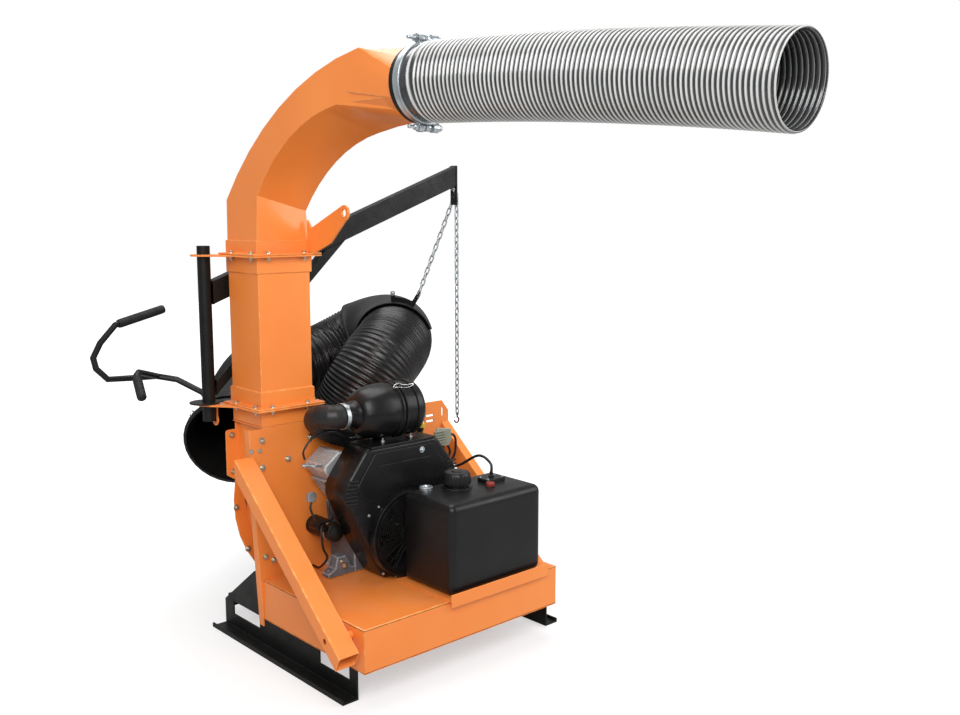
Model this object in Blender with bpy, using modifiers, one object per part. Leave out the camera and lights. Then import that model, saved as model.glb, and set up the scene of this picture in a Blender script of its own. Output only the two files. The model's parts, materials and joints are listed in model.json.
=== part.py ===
"""Leaf vacuum: a skid-mounted loader with a petrol engine, a steel blower, a square duct and two hoses.

Metres, +Z up. The design frame has its origin on the ground below the deck's front left corner:
+X runs to the right along the deck's front edge, +Y to the back. The last step moves the whole
object so that its origin is the centre of its bounding box's underside.
"""
import math
import bpy
import bmesh
from mathutils import Matrix, Quaternion, Vector

# Clearances
GAP = 0.0003                 # between pieces that touch
RUNNING = 0.0010             # round a turning shaft or pole

# Deck and skid
DECK_WIDTH = 0.843
DECK_DEPTH = 0.580
DECK_TOP = 0.260
DECK_SKIRT = 0.141
DECK_SHEET = 0.005
RAIL_START = 0.078
RAIL_END = 0.904
RAIL_PLATE = 0.006
RAIL_INSET = 0.026           # left web's outer face from the deck's left side
RAIL_OUTSET = 0.037          # right web's outer face past the deck's right side
RAIL_FLANGE = 0.054
RAIL_LIP = 0.016
RAIL_TAIL = 0.096            # web height at its back end
WINDOW_LOW = 0.053
WINDOW_HIGH = 0.101
CROSS_TUBE = 0.040
CROSS_WALL = 0.003

# Blower housing
HOUSING_DEPTH = 0.195
HOUSING_TOP = 0.785
HOUSING_SHEET = 0.005
HOUSING_LEFT = -0.020
HOUSING_LEAN = 0.017         # the front plate's left edge leans out this far at its top and in at its foot
HOUSING_FOLD = 0.026         # the fold behind that edge
BAND_MARGIN = 0.049          # the back plate's rim outside the band, on the left
SHOULDER_DROP = 0.030        # the rim's top below the housing's
AXIS_X = 0.395
AXIS_Z = 0.412
SCROLL_START_RADIUS = 0.235
SCROLL_GROWTH = 0.180
SCROLL_POWER = 2.8
IMPELLER_RADIUS = 0.210
SHAFT_RADIUS = 0.018
INLET_RADIUS = 0.152
INLET_LENGTH = 0.045
SLOT_LONG = 0.036
SLOT_WIDE = 0.008

# Discharge duct
DUCT_LEFT = 0.015
DUCT_WIDTH = 0.201
DUCT_SHEET = 0.005
COLLAR_STEP = 0.005
FLANGE_PLATE = 0.006
FLANGE_RIM = 0.030
FLANGE_BACK_RIM = 0.012
LOWER_FLANGE = 0.851         # the joint between the two lower flange plates
LOWER_COLLAR = 0.052
UPPER_FLANGE = 1.365
UPPER_COLLAR = 0.053
ELBOW_COLLAR = 0.042
BEND_OUTER_RADIUS = 1.182
BEND_LEFT_RADIUS = 0.660     # the inner sheet is lower on its right side
BEND_RIGHT_RADIUS = 0.653
SPIGOT_RADIUS = 0.1015
SPIGOT_WALL = 0.0035
SPIGOT_Y = -0.150            # where the square part has become round
SPIGOT_Z = 1.851
SPIGOT_LENGTH = 0.040

# Discharge hose
HOSE_RADIUS = 0.1085
HOSE_GROOVE = 0.1030
HOSE_BORE = 0.0960
HOSE_RIBS = 34
HOSE_REACH = 1.0565
HOSE_DRIFT = 0.121
HOSE_DROP = 0.080
CLAMP_WIDTH = 0.024

# Mast and boom
MAST_RADIUS = 0.0222
MAST_X = -0.0555
MAST_BEHIND_DUCT = 0.0395
REST_RADIUS = 0.052              # the round plate at the mast's foot
REST_OFFSET = 0.0125
REST_THICK = 0.005
MAST_LOW = 0.789
MAST_HIGH = 1.394
BOOM_DEPTH = 0.076
BOOM_WIDTH = 0.038
BOOM_WALL = 0.003
BOOM_ROOT_Z = 1.226
BOOM_REACH = 1.128
BOOM_RISE = 0.4275
STRUT_SIZE = 0.038
STRUT_ROOT_Z = 0.905
STRUT_REACH = 0.528
END_PLATE_LOW = 1.538
END_PLATE_HIGH = 1.698
END_PLATE_THICK = 0.010
END_SLOT_Z = 1.587
CHAIN_RADIUS = 0.006
HANGING_CHAIN_END = 0.664

# Intake hose and nozzle
INTAKE_FIT = 0.0015          # from the blower's collar to the hose's bore
INTAKE_WALL = 0.0030
INTAKE_RIB = 0.0055
INTAKE_RIBS = 52
NOZZLE_LENGTH = 0.300
NOZZLE_STEP = 0.0020         # from the hose's bore to the nozzle's outside
NOZZLE_ROLL = 0.0215         # the rolled lip's height on the nozzle
NOZZLE_WALL = 0.004
HANDLE_TUBE = 0.0115
GRIP_RADIUS = 0.0165
SLEEVE_FIT = 0.0065
SLEEVE_THICK = 0.004

# Engine
SHROUD_FRONT = 0.300
SHROUD_BACK = 0.420
SHROUD_TOP = 0.728
SHROUD_WALL = 0.004
FAN_RING_RADIUS = 0.150
FAN_RADIUS = 0.105
BANK_TILT = math.radians(37.0)
BANK_START = 0.150
BANK_LENGTH = 0.120
BANK_HALF = 0.055
CRANKCASE_FRONT = 0.4303
COVER_LENGTH = 0.060
STARTER_RADIUS = 0.034
CLEANER_Y = 0.385
CLEANER_Z = 0.832
CLEANER_RADIUS = 0.094
CLEANER_RIGHT = 0.455
CLEANER_LENGTH = 0.250
ELBOW_TUBE_RADIUS = 0.0415

# Fuel tank
TANK_LEFT = 0.351
TANK_WIDTH = 0.4215
TANK_DEPTH = 0.262
TANK_HEIGHT = 0.310
TRAY_SHEET = 0.004

DUCT_RIGHT = DUCT_LEFT + DUCT_WIDTH
DUCT_FRONT = DECK_DEPTH
DUCT_BACK = DECK_DEPTH + HOUSING_DEPTH
MAST_Y = DUCT_BACK + MAST_BEHIND_DUCT
DECK_UNDER = DECK_TOP - DECK_SKIRT
INTAKE_BORE = INLET_RADIUS + INTAKE_FIT
INTAKE_GROOVE = INTAKE_BORE + INTAKE_WALL
INTAKE_RADIUS = INTAKE_GROOVE + INTAKE_RIB
NOZZLE_OUTER = INTAKE_BORE + NOZZLE_STEP
NOZZLE_LIP = NOZZLE_OUTER + NOZZLE_ROLL
SLEEVE_RADIUS = INTAKE_RADIUS + SLEEVE_FIT

for thing in list(bpy.data.objects):
    bpy.data.objects.remove(thing, do_unlink=True)
for old in list(bpy.data.collections):
    bpy.data.collections.remove(old)
PARTS = bpy.data.collections.new("leaf_vacuum")
CUTTERS = bpy.data.collections.new("cutters")
bpy.context.scene.collection.children.link(PARTS)
bpy.context.scene.collection.children.link(CUTTERS)
ROOT = bpy.data.objects.new("origin", None)
PARTS.objects.link(ROOT)


# Materials

def material(name, colour, roughness, metallic=0.0):
    made = bpy.data.materials.new(name)
    made.use_nodes = True
    shader = made.node_tree.nodes["Principled BSDF"]
    shader.inputs["Base Color"].default_value = (*colour, 1.0)
    shader.inputs["Roughness"].default_value = roughness
    shader.inputs["Metallic"].default_value = metallic
    made.diffuse_color = (*colour, 1.0)
    return made


ORANGE = material("orange_paint", (0.90, 0.26, 0.06), 0.35)
BLACK = material("black_paint", (0.012, 0.013, 0.012), 0.4)
PLASTIC = material("black_plastic", (0.015, 0.015, 0.015), 0.45)
RUBBER = material("black_rubber", (0.012, 0.012, 0.012), 0.6)
ZINC = material("zinc_plate", (0.55, 0.60, 0.62), 0.35, 0.9)
CAST = material("cast_aluminium", (0.45, 0.46, 0.47), 0.5, 0.8)
STEEL = material("bright_steel", (0.5, 0.5, 0.5), 0.3, 1.0)
CLEAR_HOSE = material("grey_hose", (0.55, 0.55, 0.53), 0.35)
RED = material("red_plastic", (0.5, 0.03, 0.02), 0.5)


# Modelling helpers

def new_object(name, mesh, finish, smooth=None):
    thing = bpy.data.objects.new(name, mesh)
    PARTS.objects.link(thing)
    thing.data.materials.clear()
    thing.data.materials.append(finish)
    thing.parent = ROOT
    if smooth is not None:
        thing.data.shade_smooth()
        thing.data.set_sharp_from_angle(angle=math.radians(smooth))
    return thing


def baked(thing):
    """Replaces a curve or a modified object by its evaluated mesh, welded and left in place."""
    bpy.context.view_layer.update()
    graph = bpy.context.evaluated_depsgraph_get()
    mesh = bpy.data.meshes.new_from_object(thing.evaluated_get(graph))
    shape = bmesh.new()
    shape.from_mesh(mesh)
    bmesh.ops.remove_doubles(shape, verts=shape.verts, dist=0.00002)
    shape.to_mesh(mesh)
    shape.free()
    name, finish, place = thing.name, thing.data.materials[0], thing.matrix_world.copy()
    bpy.data.objects.remove(thing, do_unlink=True)
    made = new_object(name, mesh, finish)
    made.matrix_world = place
    return made


def box(name, low, high, finish, bevel=0.0, segments=2):
    shape = bmesh.new()
    bmesh.ops.create_cube(shape, size=1.0)
    size = Vector(high) - Vector(low)
    bmesh.ops.scale(shape, vec=size, verts=shape.verts)
    mesh = bpy.data.meshes.new(name)
    shape.to_mesh(mesh)
    shape.free()
    made = new_object(name, mesh, finish)
    made.location = (Vector(low) + Vector(high)) / 2
    if bevel:
        edge = made.modifiers.new("rounded_edges", "BEVEL")
        edge.width = bevel
        edge.segments = segments
    return made


def prism(name, outline, plane, start, end, finish):
    """A flat outline in the YZ, XZ or XY plane, as thick as from start to end along the third axis."""
    curve = bpy.data.curves.new(name, "CURVE")
    curve.dimensions = "2D"
    curve.fill_mode = "BOTH"
    curve.extrude = abs(end - start) / 2
    line = curve.splines.new("POLY")
    line.points.add(len(outline) - 1)
    for point, (a, b) in zip(line.points, outline):
        point.co = (a, b, 0.0, 1.0)
    line.use_cyclic_u = True
    made = new_object(name, curve, finish)
    middle = (start + end) / 2
    if plane == "YZ":
        made.matrix_world = Matrix(((0, 0, 1, middle), (1, 0, 0, 0), (0, 1, 0, 0), (0, 0, 0, 1)))
    elif plane == "XZ":
        made.matrix_world = Matrix(((1, 0, 0, 0), (0, 0, -1, middle), (0, 1, 0, 0), (0, 0, 0, 1)))
    else:
        made.matrix_world = Matrix.Translation((0, 0, middle))
    return baked(made)


def rod(name, start, end, radius, finish, sides=24, far_radius=None):
    """A round bar or cone between two points."""
    start, end = Vector(start), Vector(end)
    shape = bmesh.new()
    bmesh.ops.create_cone(shape, cap_ends=True, cap_tris=False, segments=sides, radius1=radius,
                          radius2=radius if far_radius is None else far_radius, depth=(end - start).length)
    mesh = bpy.data.meshes.new(name)
    shape.to_mesh(mesh)
    shape.free()
    made = new_object(name, mesh, finish, smooth=40)
    made.location = (start + end) / 2
    made.rotation_mode = "QUATERNION"
    made.rotation_quaternion = (end - start).to_track_quat("Z", "Y")
    return made


def turned(name, profile, centre, axis, finish, steps=28):
    """A closed or axis-to-axis profile of (radius, height) turned about an axis through a point."""
    mesh = bpy.data.meshes.new(name)
    mesh.from_pydata([(radius, 0.0, height) for radius, height in profile],
                     [(i, i + 1) for i in range(len(profile) - 1)], [])
    made = new_object(name, mesh, finish)
    screw = made.modifiers.new("turn", "SCREW")
    screw.steps = steps
    screw.render_steps = steps
    screw.use_merge_vertices = True
    screw.merge_threshold = 0.00005
    made.location = centre
    made.rotation_mode = "QUATERNION"
    made.rotation_quaternion = Vector(axis).to_track_quat("Z", "Y")
    made = baked(made)
    made.data.shade_smooth()
    made.data.set_sharp_from_angle(angle=math.radians(35))
    return made


def ring(name, outer, inner, start, end, centre, axis, finish, steps=32):
    """A plain sleeve: outer side first, top to bottom, so that it faces out."""
    profile = [(inner, end), (outer, end), (outer, start), (inner, start), (inner, end)]
    return turned(name, profile, centre, axis, finish, steps)


def tube(name, points, radius, finish, resolution=2, radii=None):
    """A round tube along points, with filled ends."""
    curve = bpy.data.curves.new(name, "CURVE")
    curve.dimensions = "3D"
    curve.bevel_depth = radius
    curve.bevel_resolution = resolution
    curve.use_fill_caps = True
    line = curve.splines.new("POLY")
    line.points.add(len(points) - 1)
    for i, place in enumerate(points):
        line.points[i].co = (*place, 1.0)
        if radii:
            line.points[i].radius = radii[i] / radius
    made = baked(new_object(name, curve, finish))
    made.data.shade_smooth()
    made.data.set_sharp_from_angle(angle=math.radians(50))
    return made


def combine(base, others, operation):
    """Cuts other solids from the base, or joins them to it, and removes them."""
    for other in others:
        change = base.modifiers.new(operation.lower(), "BOOLEAN")
        change.operation = operation
        change.solver = "EXACT"
        change.object = other
    made = baked(base)
    for other in others:
        bpy.data.objects.remove(other, do_unlink=True)
    return made


def loft(name, outer, inner, finish):
    """A wall between two stacks of rings with the same number of points, open at both ends."""
    count = len(outer[0])
    shape = bmesh.new()
    skins = [[[shape.verts.new(p) for p in row] for row in stack] for stack in (outer, inner)]
    for skin, turn in ((skins[0], 1), (skins[1], -1)):
        for low, high in zip(skin, skin[1:]):
            for i in range(count):
                j = (i + 1) % count
                shape.faces.new((low[i], low[j], high[j], high[i])[::turn])
    for end, turn in ((0, -1), (-1, 1)):
        out, bore = skins[0][end], skins[1][end]
        for i in range(count):
            j = (i + 1) % count
            shape.faces.new((out[i], out[j], bore[j], bore[i])[::turn])
    bmesh.ops.recalc_face_normals(shape, faces=shape.faces)
    mesh = bpy.data.meshes.new(name)
    shape.to_mesh(mesh)
    shape.free()
    return new_object(name, mesh, finish)


def evenly(fine, count):
    """As many points as asked for, evenly spaced along a fine line of points."""
    runs = [0.0]
    for p, q in zip(fine, fine[1:]):
        runs.append(runs[-1] + (q - p).length)
    placed, k = [], 0
    for i in range(count):
        along = runs[-1] * i / (count - 1)
        while k < len(runs) - 2 and runs[k + 1] < along:
            k += 1
        share = (along - runs[k]) / (runs[k + 1] - runs[k])
        placed.append(fine[k].lerp(fine[k + 1], share))
    return placed, runs[-1]


def smooth_path(through, count, straight=0.05, passes=110):
    """Evenly spaced points on a curve through the route's points, its bends eased and its ends straight."""
    knots = [Vector(p) for p in through]
    knots = [2 * knots[0] - knots[1]] + knots + [2 * knots[-1] - knots[-2]]
    fine = []
    for a, b, c, d in zip(knots, knots[1:], knots[2:], knots[3:]):
        for step in range(24):
            t = step / 24
            fine.append(0.5 * ((2 * b) + (c - a) * t + (2 * a - 5 * b + 4 * c - d) * t * t
                               + (3 * b - a - 3 * c + d) * t ** 3))
    fine.append(knots[-2])
    line, length = evenly(fine, 260)
    hold = max(2, round(straight / length * 259))
    for _ in range(passes):
        inside = [(line[i - 1] + line[i] * 2 + line[i + 1]) / 4 for i in range(hold, 260 - hold)]
        line[hold:260 - hold] = inside
    return evenly(line, count)


def ribbed_hose(name, through, ribs, high, low, bore, finish):
    """A hose whose ribs are alternating radii along its route, with its bore cut out."""
    points, length = smooth_path(through, 2 * ribs)
    step = length / (2 * ribs - 1)
    ahead, behind = ((through[k] - through[j]).normalized() for j, k in ((0, 1), (-1, -2)))
    for k in (1, 2):
        points[k] = points[0] + ahead * step * k
        points[-1 - k] = points[-1] + behind * step * k
    radii = [high if i % 2 and 3 < i < 2 * ribs - 4 else low for i in range(2 * ribs)]
    hose = tube(name, points, high, finish, 2, radii)
    core = tube(name + "_bore", [points[0] - ahead * 0.02] + points + [points[-1] - behind * 0.02], bore, finish)
    hose = combine(hose, [core], "DIFFERENCE")
    hose.data.shade_smooth()
    hose.data.set_sharp_from_angle(angle=math.radians(60))
    apart = int(2.2 * high / step)
    least = min(((points[i] - points[j]).length - 2 * high
                 for i in range(len(points)) for j in range(i + 2 * apart, len(points))), default=1.0)
    print(name, "length", round(length, 4), "least gap to itself", round(least, 4))
    return hose


# Skid

def skid_rail(name, web_outer, side):
    """A folded rail: web, foot flange with a turned-up lip, a rear gusset and two windows."""
    inner = web_outer - side * RAIL_PLATE
    flange = web_outer + side * RAIL_FLANGE
    section = [(inner, 0), (flange, 0), (flange, RAIL_LIP), (flange - side * RAIL_PLATE, RAIL_LIP),
               (flange - side * RAIL_PLATE, RAIL_PLATE), (web_outer, RAIL_PLATE),
               (web_outer, RAIL_TAIL), (inner, RAIL_TAIL)]
    rail = prism(name, section if side > 0 else section[::-1], "XZ", RAIL_START, RAIL_END, BLACK)
    lift = DECK_UNDER - GAP
    gusset_front = DECK_DEPTH + HOUSING_SHEET + 2 * GAP
    web = [(RAIL_START, RAIL_TAIL - 0.02), (RAIL_END, RAIL_TAIL - 0.02), (RAIL_END, RAIL_TAIL),
           (RAIL_END - 0.216, DECK_TOP - 0.003), (gusset_front, DECK_TOP - 0.003),
           (gusset_front, lift), (RAIL_START, lift)]
    low, high = sorted((inner, web_outer))
    rail = combine(rail, [prism("web", web, "YZ", low, high, BLACK)], "UNION")
    windows = [box("window", (low - 0.01, start, WINDOW_LOW), (high + 0.01, end, WINDOW_HIGH), BLACK)
               for start, end in ((RAIL_START + 0.041, RAIL_START + 0.207), (RAIL_END - 0.244, RAIL_END - 0.061))]
    return combine(rail, windows, "DIFFERENCE")


LEFT_WEB = RAIL_INSET
RIGHT_WEB = DECK_WIDTH + RAIL_OUTSET
skid_rail("skid_rail_left", LEFT_WEB, -1)
skid_rail("skid_rail_right", RIGHT_WEB, 1)


def cross_tube(name, start):
    low = (LEFT_WEB + RAIL_PLATE + GAP, start, DECK_UNDER - GAP - CROSS_TUBE)
    high = (RIGHT_WEB - RAIL_PLATE - GAP, start + CROSS_TUBE, DECK_UNDER - GAP)
    bore = box("bore", (low[0] - 0.01, low[1] + CROSS_WALL, low[2] + CROSS_WALL),
               (high[0] + 0.01, high[1] - CROSS_WALL, high[2] - CROSS_WALL), BLACK)
    return combine(box(name, low, high, BLACK), [bore], "DIFFERENCE")


cross_tube("skid_cross_front", RAIL_START + 0.302)
cross_tube("skid_cross_rear", RAIL_END - CROSS_TUBE - 0.012)


# Deck, braces and tray

def engine_deck():
    deck = box("engine_deck", (0, 0, DECK_UNDER), (DECK_WIDTH, DECK_DEPTH, DECK_TOP), ORANGE)
    hollow = box("hollow", (DECK_SHEET, DECK_SHEET, DECK_UNDER - 0.01),
                 (DECK_WIDTH - DECK_SHEET, DECK_DEPTH + 0.01, DECK_TOP - DECK_SHEET), ORANGE)
    return combine(deck, [hollow], "DIFFERENCE")


engine_deck()


def rectangular_brace(name, outline, hole, left, right, wall):
    """A rectangular tube cut to an outline seen from the side, with the same shape inside."""
    brace = prism(name, outline, "YZ", left, right, ORANGE)
    core = prism("core", hole, "YZ", left + wall, right - wall, ORANGE)
    return combine(brace, [core], "DIFFERENCE")


BRACE_WALL = 0.003
BRACE_RISE = math.atan2(0.496, 0.585)
LEFT_BRACE_WIDE = 0.075
LEFT_BRACE_THICK = 0.050
LEFT_BRACE_FOOT = (-0.006, 0.200)
BRACE_HOLE_ALONG = 0.078
BRACE_HOLE_RADIUS = 0.0095
RIGHT_BRACE_WIDE = 0.038
RIGHT_BRACE_DEPTH = 0.075


def left_brace():
    along = Vector((math.cos(BRACE_RISE), math.sin(BRACE_RISE)))
    across = Vector((math.sin(BRACE_RISE), -math.cos(BRACE_RISE)))
    foot = Vector(LEFT_BRACE_FOOT)

    def side_view(wall, extra):
        """The side cut off upright at the front plate; a wall's inset and some extra length make the bore."""
        top = foot + across * wall - along * extra
        low = foot + across * (LEFT_BRACE_THICK - wall) - along * (extra + 0.012)
        end = DECK_DEPTH - GAP + extra
        return [tuple(top), tuple(low), tuple(low + along * (end - low.x) / along.x),
                tuple(top + along * (end - top.x) / along.x)]

    right = HOUSING_LEFT - 2 * GAP
    left = right - LEFT_BRACE_WIDE
    brace = rectangular_brace("brace_left", side_view(0, 0), side_view(BRACE_WALL, 0.03), left, right, BRACE_WALL)
    place = foot + along * BRACE_HOLE_ALONG + across * LEFT_BRACE_THICK / 2
    hole = rod("hole", (left - 0.01, place.x, place.y), (left + BRACE_WALL + 0.01, place.x, place.y),
               BRACE_HOLE_RADIUS, ORANGE, 16)
    return combine(brace, [hole], "DIFFERENCE")


def right_brace():
    floor, back = DECK_TOP + GAP, DECK_DEPTH - GAP
    rise = math.tan(BRACE_RISE)
    start = 0.060
    drop = RIGHT_BRACE_DEPTH / math.cos(BRACE_RISE)
    outer = [(start, floor), (start + drop / rise, floor), (back, floor + (back - start) * rise - drop),
             (back, floor + (back - start) * rise)]
    lift, fall = BRACE_WALL / math.cos(BRACE_RISE), drop - 2 * BRACE_WALL / math.cos(BRACE_RISE)
    low, far = floor - 0.03, back + 0.03
    near = start + lift / rise - 0.03 / rise
    inner = [(near, low), (near + fall / rise, low), (far, low + (far - near) * rise - fall),
             (far, low + (far - near) * rise)]
    return rectangular_brace("brace_right", outer, inner, DECK_WIDTH - RIGHT_BRACE_WIDE, DECK_WIDTH, BRACE_WALL)


left_brace()
right_brace()
rod("brace_spacer_left", (HOUSING_LEFT - GAP, 0.066, 0.228), (-GAP, 0.066, 0.228), 0.014, ORANGE)


def housing_edge(z):
    """Where the front plate's left edge is at a height."""
    return HOUSING_LEFT - HOUSING_LEAN * (1 - 2 * (HOUSING_TOP - z) / (HOUSING_TOP - DECK_UNDER))


def housing_fold():
    """A strip along the front plate's left edge, folded back."""
    low, high = DECK_UNDER - 0.026, HOUSING_TOP
    shape = [(housing_edge(low), low), (housing_edge(low) + 0.006, low), (housing_edge(high) + 0.006, high),
             (housing_edge(high), high)]
    start = DECK_DEPTH + HOUSING_SHEET + GAP
    return prism("corner_bar_left", shape, "XZ", start, start + HOUSING_FOLD, ORANGE)


housing_fold()


def tank_tray():
    """A sheet under the tank whose front edge is folded up and down, ahead of the deck."""
    floor = DECK_TOP + GAP
    lip = -0.016
    shape = [(lip, floor - 0.018), (lip + TRAY_SHEET, floor - 0.018), (lip + TRAY_SHEET, floor),
             (TANK_DEPTH + 0.006, floor), (TANK_DEPTH + 0.006, floor + TRAY_SHEET),
             (lip + TRAY_SHEET, floor + TRAY_SHEET), (lip + TRAY_SHEET, floor + 0.026), (lip, floor + 0.026)]
    return prism("tank_tray", shape, "YZ", TANK_LEFT - 0.014, TANK_LEFT + TANK_WIDTH + 0.014, ORANGE)


tank_tray()


# Blower housing

def scroll_points(inset=0.0, margin=0.0, count=34):
    """The scroll's outline from the cut-off, over the top, round to the left wall."""
    wall_x = DUCT_RIGHT + COLLAR_STEP - inset
    start_angle = math.acos((wall_x - AXIS_X) / SCROLL_START_RADIUS)
    sweep = start_angle + math.radians(203.0)
    points = []
    for i in range(count + 1):
        turn = sweep * i / count
        radius = SCROLL_START_RADIUS + SCROLL_GROWTH * (turn / sweep) ** SCROLL_POWER - inset
        radius -= margin * turn / sweep
        angle = start_angle - turn
        points.append((AXIS_X + radius * math.cos(angle), AXIS_Z + radius * math.sin(angle)))
    return points


def housing_outline(inset=0.0, margin=0.0):
    """The housing's outline from the front; a margin draws it in towards the left."""
    top = HOUSING_TOP - GAP
    left = HOUSING_LEFT + 0.002 + inset + margin
    curve = [p for p in scroll_points(inset, margin) if p[0] > left or p[1] < AXIS_Z]
    curve = [(max(x, left), z) for x, z in curve]
    right = DUCT_RIGHT + COLLAR_STEP - inset
    return [(right, top)] + [(right, curve[0][1])] + curve[1:] + [(left, curve[-1][1] + 0.02), (left, top)]


def blower_front_plate():
    start, end = DECK_DEPTH + GAP, DECK_DEPTH + HOUSING_SHEET
    right = DECK_WIDTH - 0.003
    notch = LEFT_WEB + RAIL_PLATE + 0.013
    low = DECK_UNDER - 0.026
    shape = [(housing_edge(DECK_UNDER), DECK_UNDER + GAP), (notch, DECK_UNDER + GAP), (notch, low), (right, low),
             (right, HOUSING_TOP - 0.042), (right - 0.033, HOUSING_TOP), (housing_edge(HOUSING_TOP), HOUSING_TOP)]
    plate = prism("blower_front_plate", shape, "XZ", start, end, ORANGE)
    cuts = [rod("shaft_hole", (AXIS_X, start - 0.01, AXIS_Z), (AXIS_X, end + 0.01, AXIS_Z), SHAFT_RADIUS + 0.006,
                ORANGE, 32)]
    for column in (right - 0.139, right - 0.094):
        for row in (HOUSING_TOP - 0.053, HOUSING_TOP - 0.074):
            cuts.append(box("slot", (column - SLOT_LONG / 2, start - 0.01, row - SLOT_WIDE / 2),
                            (column + SLOT_LONG / 2, end + 0.01, row + SLOT_WIDE / 2), ORANGE))
    upright = (right - 0.031, HOUSING_TOP - 0.045)
    cuts.append(box("slot", (upright[0] - SLOT_WIDE / 2, start - 0.01, upright[1] - 0.016),
                    (upright[0] + SLOT_WIDE / 2, end + 0.01, upright[1] + 0.016), ORANGE))
    return combine(plate, cuts, "DIFFERENCE")


def blower_band():
    start, end = DECK_DEPTH + HOUSING_SHEET + GAP, DUCT_BACK - HOUSING_SHEET - GAP
    outer = housing_outline(0.0, BAND_MARGIN)
    inner = housing_outline(0.004, BAND_MARGIN)
    strip = outer + inner[::-1]
    return prism("blower_band", strip, "XZ", start, end, ORANGE)


def blower_back_plate():
    start, end = DUCT_BACK - HOUSING_SHEET, DUCT_BACK
    shape = housing_outline(-0.001)
    left, top = shape[-1]
    shoulder = HOUSING_TOP - SHOULDER_DROP
    shape[-1:] = [(left, shoulder - 0.009), (left + 0.003, shoulder - 0.003), (left + 0.009, shoulder),
                  (DUCT_LEFT + 0.004, shoulder), (DUCT_LEFT + 0.004, top)]
    plate = prism("blower_back_plate", shape, "XZ", start, end, ORANGE)
    hole = rod("inlet_hole", (AXIS_X, start - 0.01, AXIS_Z), (AXIS_X, end + 0.01, AXIS_Z),
               INLET_RADIUS - 0.0035, ORANGE, 28)
    plate = combine(plate, [hole], "DIFFERENCE")
    collar = ring("collar", INLET_RADIUS, INLET_RADIUS - 0.0035, -0.004, INLET_LENGTH, (AXIS_X, DUCT_BACK, AXIS_Z),
                  (0, 1, 0), ORANGE, 28)
    return combine(plate, [collar], "UNION")


def blower_top_plate():
    low = HOUSING_TOP + GAP
    plate = box("blower_top_plate", (DUCT_LEFT - 0.002, DECK_DEPTH, low),
                (DUCT_RIGHT + 0.030, DUCT_BACK, low + 0.0044), ORANGE)
    wall = DUCT_SHEET
    hole = box("outlet", (DUCT_LEFT + wall, DUCT_FRONT + wall, low - 0.01),
               (DUCT_RIGHT - wall, DUCT_BACK - wall, low + 0.02), ORANGE)
    return combine(plate, [hole], "DIFFERENCE")


blower_front_plate()
blower_band()
blower_back_plate()
blower_top_plate()


# Square duct, from the housing's neck to the elbow

ELBOW_SIDE_POINTS = 4


def divided(corners, pieces):
    """A ring of points round four corners, each side divided into equal pieces."""
    return [a.lerp(b, i / pieces) for a, b in zip(corners, corners[1:] + corners[:1]) for i in range(pieces)]


def duct_ring(z, grow, back=None, pieces=1):
    left, right, front = DUCT_LEFT - grow, DUCT_RIGHT + grow, DUCT_FRONT - grow
    rear = DUCT_BACK + (grow if back is None else back)
    return divided([Vector((left, front, z)), Vector((right, front, z)), Vector((right, rear, z)),
                    Vector((left, rear, z))], pieces)


def duct_piece(name, levels):
    """A square tube whose outside steps out at flanges and collars; levels are (height, step, back step)."""
    outer = [duct_ring(z, grow, back) for z, grow, back in levels]
    inner = [duct_ring(levels[0][0], -DUCT_SHEET), duct_ring(levels[-1][0], -DUCT_SHEET)]
    while len(inner) < len(outer):
        share = len(inner) / len(outer)
        height = levels[0][0] + (levels[-1][0] - levels[0][0]) * share
        inner.insert(-1, duct_ring(height, -DUCT_SHEET))
    return loft(name, outer, inner, ORANGE)


NECK_FOOT = HOUSING_TOP + 0.0044 + 2 * GAP
NECK = duct_piece("outlet_neck", [
    (NECK_FOOT, 0.0, 0.0), (LOWER_FLANGE - FLANGE_PLATE, 0.0, 0.0),
    (LOWER_FLANGE - FLANGE_PLATE, FLANGE_RIM, FLANGE_BACK_RIM), (LOWER_FLANGE, FLANGE_RIM, FLANGE_BACK_RIM)])
duct_foot, duct_head = LOWER_FLANGE + GAP, UPPER_FLANGE - GAP
DUCT = duct_piece("discharge_duct", [
    (duct_foot, FLANGE_RIM, FLANGE_BACK_RIM), (duct_foot + FLANGE_PLATE, FLANGE_RIM, FLANGE_BACK_RIM),
    (duct_foot + FLANGE_PLATE, COLLAR_STEP, COLLAR_STEP),
    (duct_foot + FLANGE_PLATE + LOWER_COLLAR, COLLAR_STEP, COLLAR_STEP),
    (duct_foot + FLANGE_PLATE + LOWER_COLLAR, 0.0, 0.0),
    (duct_head - FLANGE_PLATE - UPPER_COLLAR, 0.0, 0.0),
    (duct_head - FLANGE_PLATE - UPPER_COLLAR, COLLAR_STEP, COLLAR_STEP),
    (duct_head - FLANGE_PLATE, COLLAR_STEP, COLLAR_STEP),
    (duct_head - FLANGE_PLATE, FLANGE_RIM, FLANGE_BACK_RIM), (duct_head, FLANGE_RIM, FLANGE_BACK_RIM)])

# The elbow bends from straight up to straight ahead (-Y). Each edge of its curved part is an arc, given
# by its centre, its radius and the angles at which it starts and ends.
DUCT_MIDDLE_X = (DUCT_LEFT + DUCT_RIGHT) / 2
BEND_STEPS = 8
BEND_OUTER = ((DUCT_BACK - 0.906, UPPER_FLANGE - 0.580), BEND_OUTER_RADIUS, 40.2, 83.6)
BEND_LEFT = ((DUCT_FRONT - 0.531, UPPER_FLANGE - 0.209), BEND_LEFT_RADIUS, 37.7, 84.5)
BEND_RIGHT = ((DUCT_FRONT - 0.493, UPPER_FLANGE - 0.265), BEND_RIGHT_RADIUS, 39.0, 82.0)
SPIGOT_X = DUCT_MIDDLE_X - 0.013


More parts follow.
